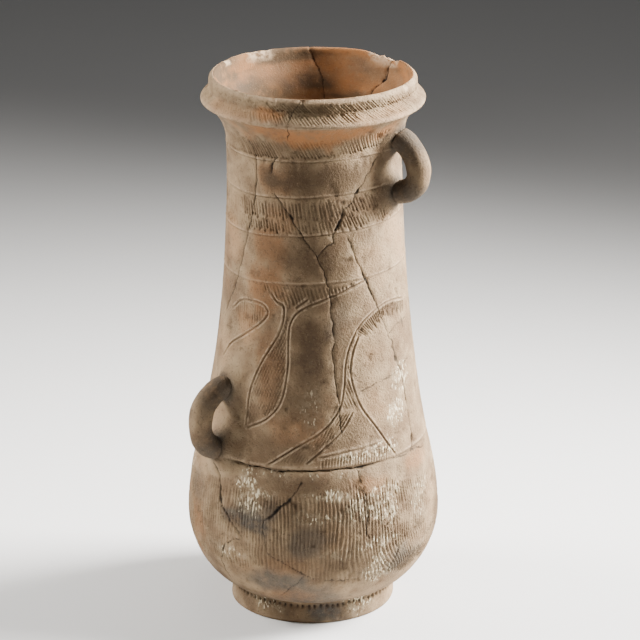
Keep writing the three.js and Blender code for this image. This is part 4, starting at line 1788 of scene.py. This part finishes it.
class Bench:
    """A bench for mixing one procedural material on a Principled shader."""

    def __init__(self, name: str, roughness: float, specular: float) -> None:
        """Starts a material.

        Args:
            name: the material's name.
            roughness: the shader's roughness.
            specular: the shader's specular level.
        """
        self.material = bpy.data.materials.new(name)
        self.material.use_nodes = True
        self.nodes = self.material.node_tree.nodes
        self.links = self.material.node_tree.links
        self.shader = self.nodes["Principled BSDF"]
        self.shader.inputs["Roughness"].default_value = roughness
        self.shader.inputs["Specular IOR Level"].default_value = specular
        self.places = self.nodes.new("ShaderNodeTexCoord").outputs["Object"]

    def noise(self, scale: float, detail: float, rise: float = 1.0) -> bpy.types.NodeSocket:
        """Noise between 0 and 1 whose blobs are about one over the scale in metres.

        Args:
            scale: blobs in a metre.
            detail: how many finer layers.
            rise: scale along Z, where under 1 draws the blobs out upright.

        Returns:
            The noise.
        """
        node = self.nodes.new("ShaderNodeTexNoise")
        node.inputs["Scale"].default_value = scale
        node.inputs["Detail"].default_value = detail
        stretch = self.nodes.new("ShaderNodeMapping")
        stretch.inputs["Scale"].default_value = (1.0, 1.0, rise)
        self.links.new(self.places, stretch.inputs["Vector"])
        self.links.new(stretch.outputs["Vector"], node.inputs["Vector"])
        return node.outputs["Fac"]

    def channels(self, name: str) -> tuple[bpy.types.NodeSocket, ...]:
        """The four values stored under a name on each vertex.

        Args:
            name: the attribute's name.

        Returns:
            Its red, green, blue and alpha.
        """
        node = self.nodes.new("ShaderNodeAttribute")
        node.attribute_name = name
        split = self.nodes.new("ShaderNodeSeparateColor")
        self.links.new(node.outputs["Color"], split.inputs["Color"])
        return (*split.outputs, node.outputs["Alpha"])

    def math(
        self, operation: Sum, first: bpy.types.NodeSocket, second: bpy.types.NodeSocket | float
    ) -> bpy.types.NodeSocket:
        """One Math node over a varying value and another value or number.

        Args:
            operation: the sum to do.
            first: a varying value.
            second: another, or a number.

        Returns:
            The result.
        """
        node = self.nodes.new("ShaderNodeMath")
        node.operation = operation.value
        self.links.new(first, node.inputs[0])
        if isinstance(second, float):
            node.inputs[1].default_value = second
        else:
            self.links.new(second, node.inputs[1])
        return node.outputs[0]

    def scaled(self, value: bpy.types.NodeSocket, factor: float) -> bpy.types.NodeSocket:
        """The value times a number."""
        return self.math(Sum.PRODUCT, value, factor)

    def product(self, first: bpy.types.NodeSocket, second: bpy.types.NodeSocket) -> bpy.types.NodeSocket:
        """One value times another."""
        return self.math(Sum.PRODUCT, first, second)

    def total(self, first: bpy.types.NodeSocket, second: bpy.types.NodeSocket) -> bpy.types.NodeSocket:
        """One value plus another."""
        return self.math(Sum.TOTAL, first, second)

    def window(self, value: bpy.types.NodeSocket, low: float, high: float) -> bpy.types.NodeSocket:
        """A smooth step of the value from 0 at low to 1 at high.

        Args:
            value: a varying value.
            low: where the step starts.
            high: where it ends.

        Returns:
            The step.
        """
        node = self.nodes.new("ShaderNodeMapRange")
        node.interpolation_type = "SMOOTHSTEP"
        node.inputs["From Min"].default_value = low
        node.inputs["From Max"].default_value = high
        self.links.new(value, node.inputs["Value"])
        return node.outputs["Result"]

    def mix(
        self,
        share: bpy.types.NodeSocket,
        first: bpy.types.NodeSocket | tuple[float, float, float],
        second: bpy.types.NodeSocket | tuple[float, float, float],
    ) -> bpy.types.NodeSocket:
        """Mixes two colours.

        Args:
            share: how much of the second colour, from 0 to 1.
            first: a colour, or where one comes from.
            second: a colour, or where one comes from.

        Returns:
            The mixed colour.
        """
        node = self.nodes.new("ShaderNodeMix")
        node.data_type = "RGBA"
        self.links.new(share, node.inputs["Factor"])
        for colour, socket in ((first, node.inputs[6]), (second, node.inputs[7])):
            if isinstance(colour, tuple):
                socket.default_value = (*colour, 1.0)
            else:
                self.links.new(colour, socket)
        return node.outputs[2]

    def colour_by(self, colour: bpy.types.NodeSocket) -> None:
        """Joins a colour to the shader."""
        self.links.new(colour, self.shader.inputs["Base Color"])

    def bump_by(self, height: bpy.types.NodeSocket, distance: float, strength: float) -> None:
        """Adds fine bump, its full height given in metres.

        Args:
            height: the relief, about 0 to 1.
            distance: its full height.
            strength: its share.
        """
        node = self.nodes.new("ShaderNodeBump")
        node.inputs["Strength"].default_value = strength
        node.inputs["Distance"].default_value = distance
        self.links.new(height, node.inputs["Height"])
        self.links.new(node.outputs["Normal"], self.shader.inputs["Normal"])


@dataclass(frozen=True)
class SoftBox:
    """A square studio light: its place and side in metres, power in watts, spread in degrees, colour, aim."""

    name: str
    place: tuple[float, float, float]
    side: float
    power: float
    spread: float = 180.0
    colour: tuple[float, float, float] = (1.0, 0.97, 0.93)
    aim: tuple[float, float, float] = (0.0, 0.0, 0.22)

    def set_up(self) -> None:
        """Adds the light and turns it towards its aim."""
        direction = Vector(self.aim) - Vector(self.place)
        turn = direction.to_track_quat("-Z", "Y").to_euler()
        bpy.ops.object.light_add(type="AREA", location=self.place, rotation=turn)
        light = bpy.context.object
        light.name = self.name
        light.data.shape = "SQUARE"
        light.data.size = self.side
        light.data.energy = self.power
        light.data.spread = math.radians(self.spread)
        light.data.color = self.colour


@dataclass(frozen=True)
class Studio:
    """The floor, the lights and the camera at the photo's angle. Lengths in metres, the pitch in degrees."""

    floor_side: float = 14.0
    camera_place: tuple[float, float, float] = (0.005, -2.6, 1.1583)
    camera_pitch: float = 19.76
    lens: float = 204.5
    sensor: float = 36.0
    air: float = 0.06
    lights: tuple[SoftBox, ...] = (
        SoftBox("right_soft_box", (1.25, 0.2, 0.95), 0.7, 44.0, spread=70.0),
        SoftBox("left_soft_box", (-1.3, 0.15, 0.95), 0.7, 11.0, spread=70.0),
        SoftBox("top_fill", (0.0, 0.35, 1.9), 0.9, 9.0),
        SoftBox("front_fill", (0.25, -1.9, 1.5), 0.8, 4.5),
    )

    def set_up(self) -> None:
        """Lays the floor, sets up the lights and the camera, and lights the air."""
        bpy.ops.object.select_all(action="DESELECT")
        bpy.ops.mesh.primitive_plane_add(size=self.floor_side, location=(0.0, 0.0, 0.0))
        floor = bpy.context.object
        floor.name = "floor"
        floor.data.materials.append(PaleFloor().material())
        for light in self.lights:
            light.set_up()
        turn = (math.radians(90.0 - self.camera_pitch), 0.0, 0.0)
        bpy.ops.object.camera_add(location=self.camera_place, rotation=turn)
        camera = bpy.context.object
        camera.name = "camera"
        camera.data.lens = self.lens
        camera.data.sensor_width = self.sensor
        bpy.context.scene.camera = camera
        world = bpy.data.worlds.new("studio_air")
        world.use_nodes = True
        world.node_tree.nodes["Background"].inputs["Color"].default_value = (1.0, 1.0, 1.0, 1.0)
        world.node_tree.nodes["Background"].inputs["Strength"].default_value = self.air
        bpy.context.scene.world = world


def main() -> None:
    """Builds the jar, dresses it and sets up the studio."""
    logging.basicConfig(level=logging.INFO, format="%(name)s: %(message)s")
    outline = Outline()
    handles = (
        Handle("upper_handle", azimuth=61.0, middle=358.5, height=60.0, reach=31.5, peak=0.4),
        Handle("lower_handle", azimuth=-55.0, middle=164.5, height=65.0, reach=32.0, peak=0.6),
    )
    jar = Jar(Body(outline, Decoration(outline)), handles)
    piece = jar.build()
    finish = FiredClay()
    finish.paint(piece, jar)
    piece.data.materials.clear()
    piece.data.materials.append(finish.material())
    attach(piece, "root")
    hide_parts("jar")
    LOG.info("%s dressed: %d triangles", piece.name, len(piece.data.polygons))
    Studio().set_up()


if __name__ == "__main__":
    main()
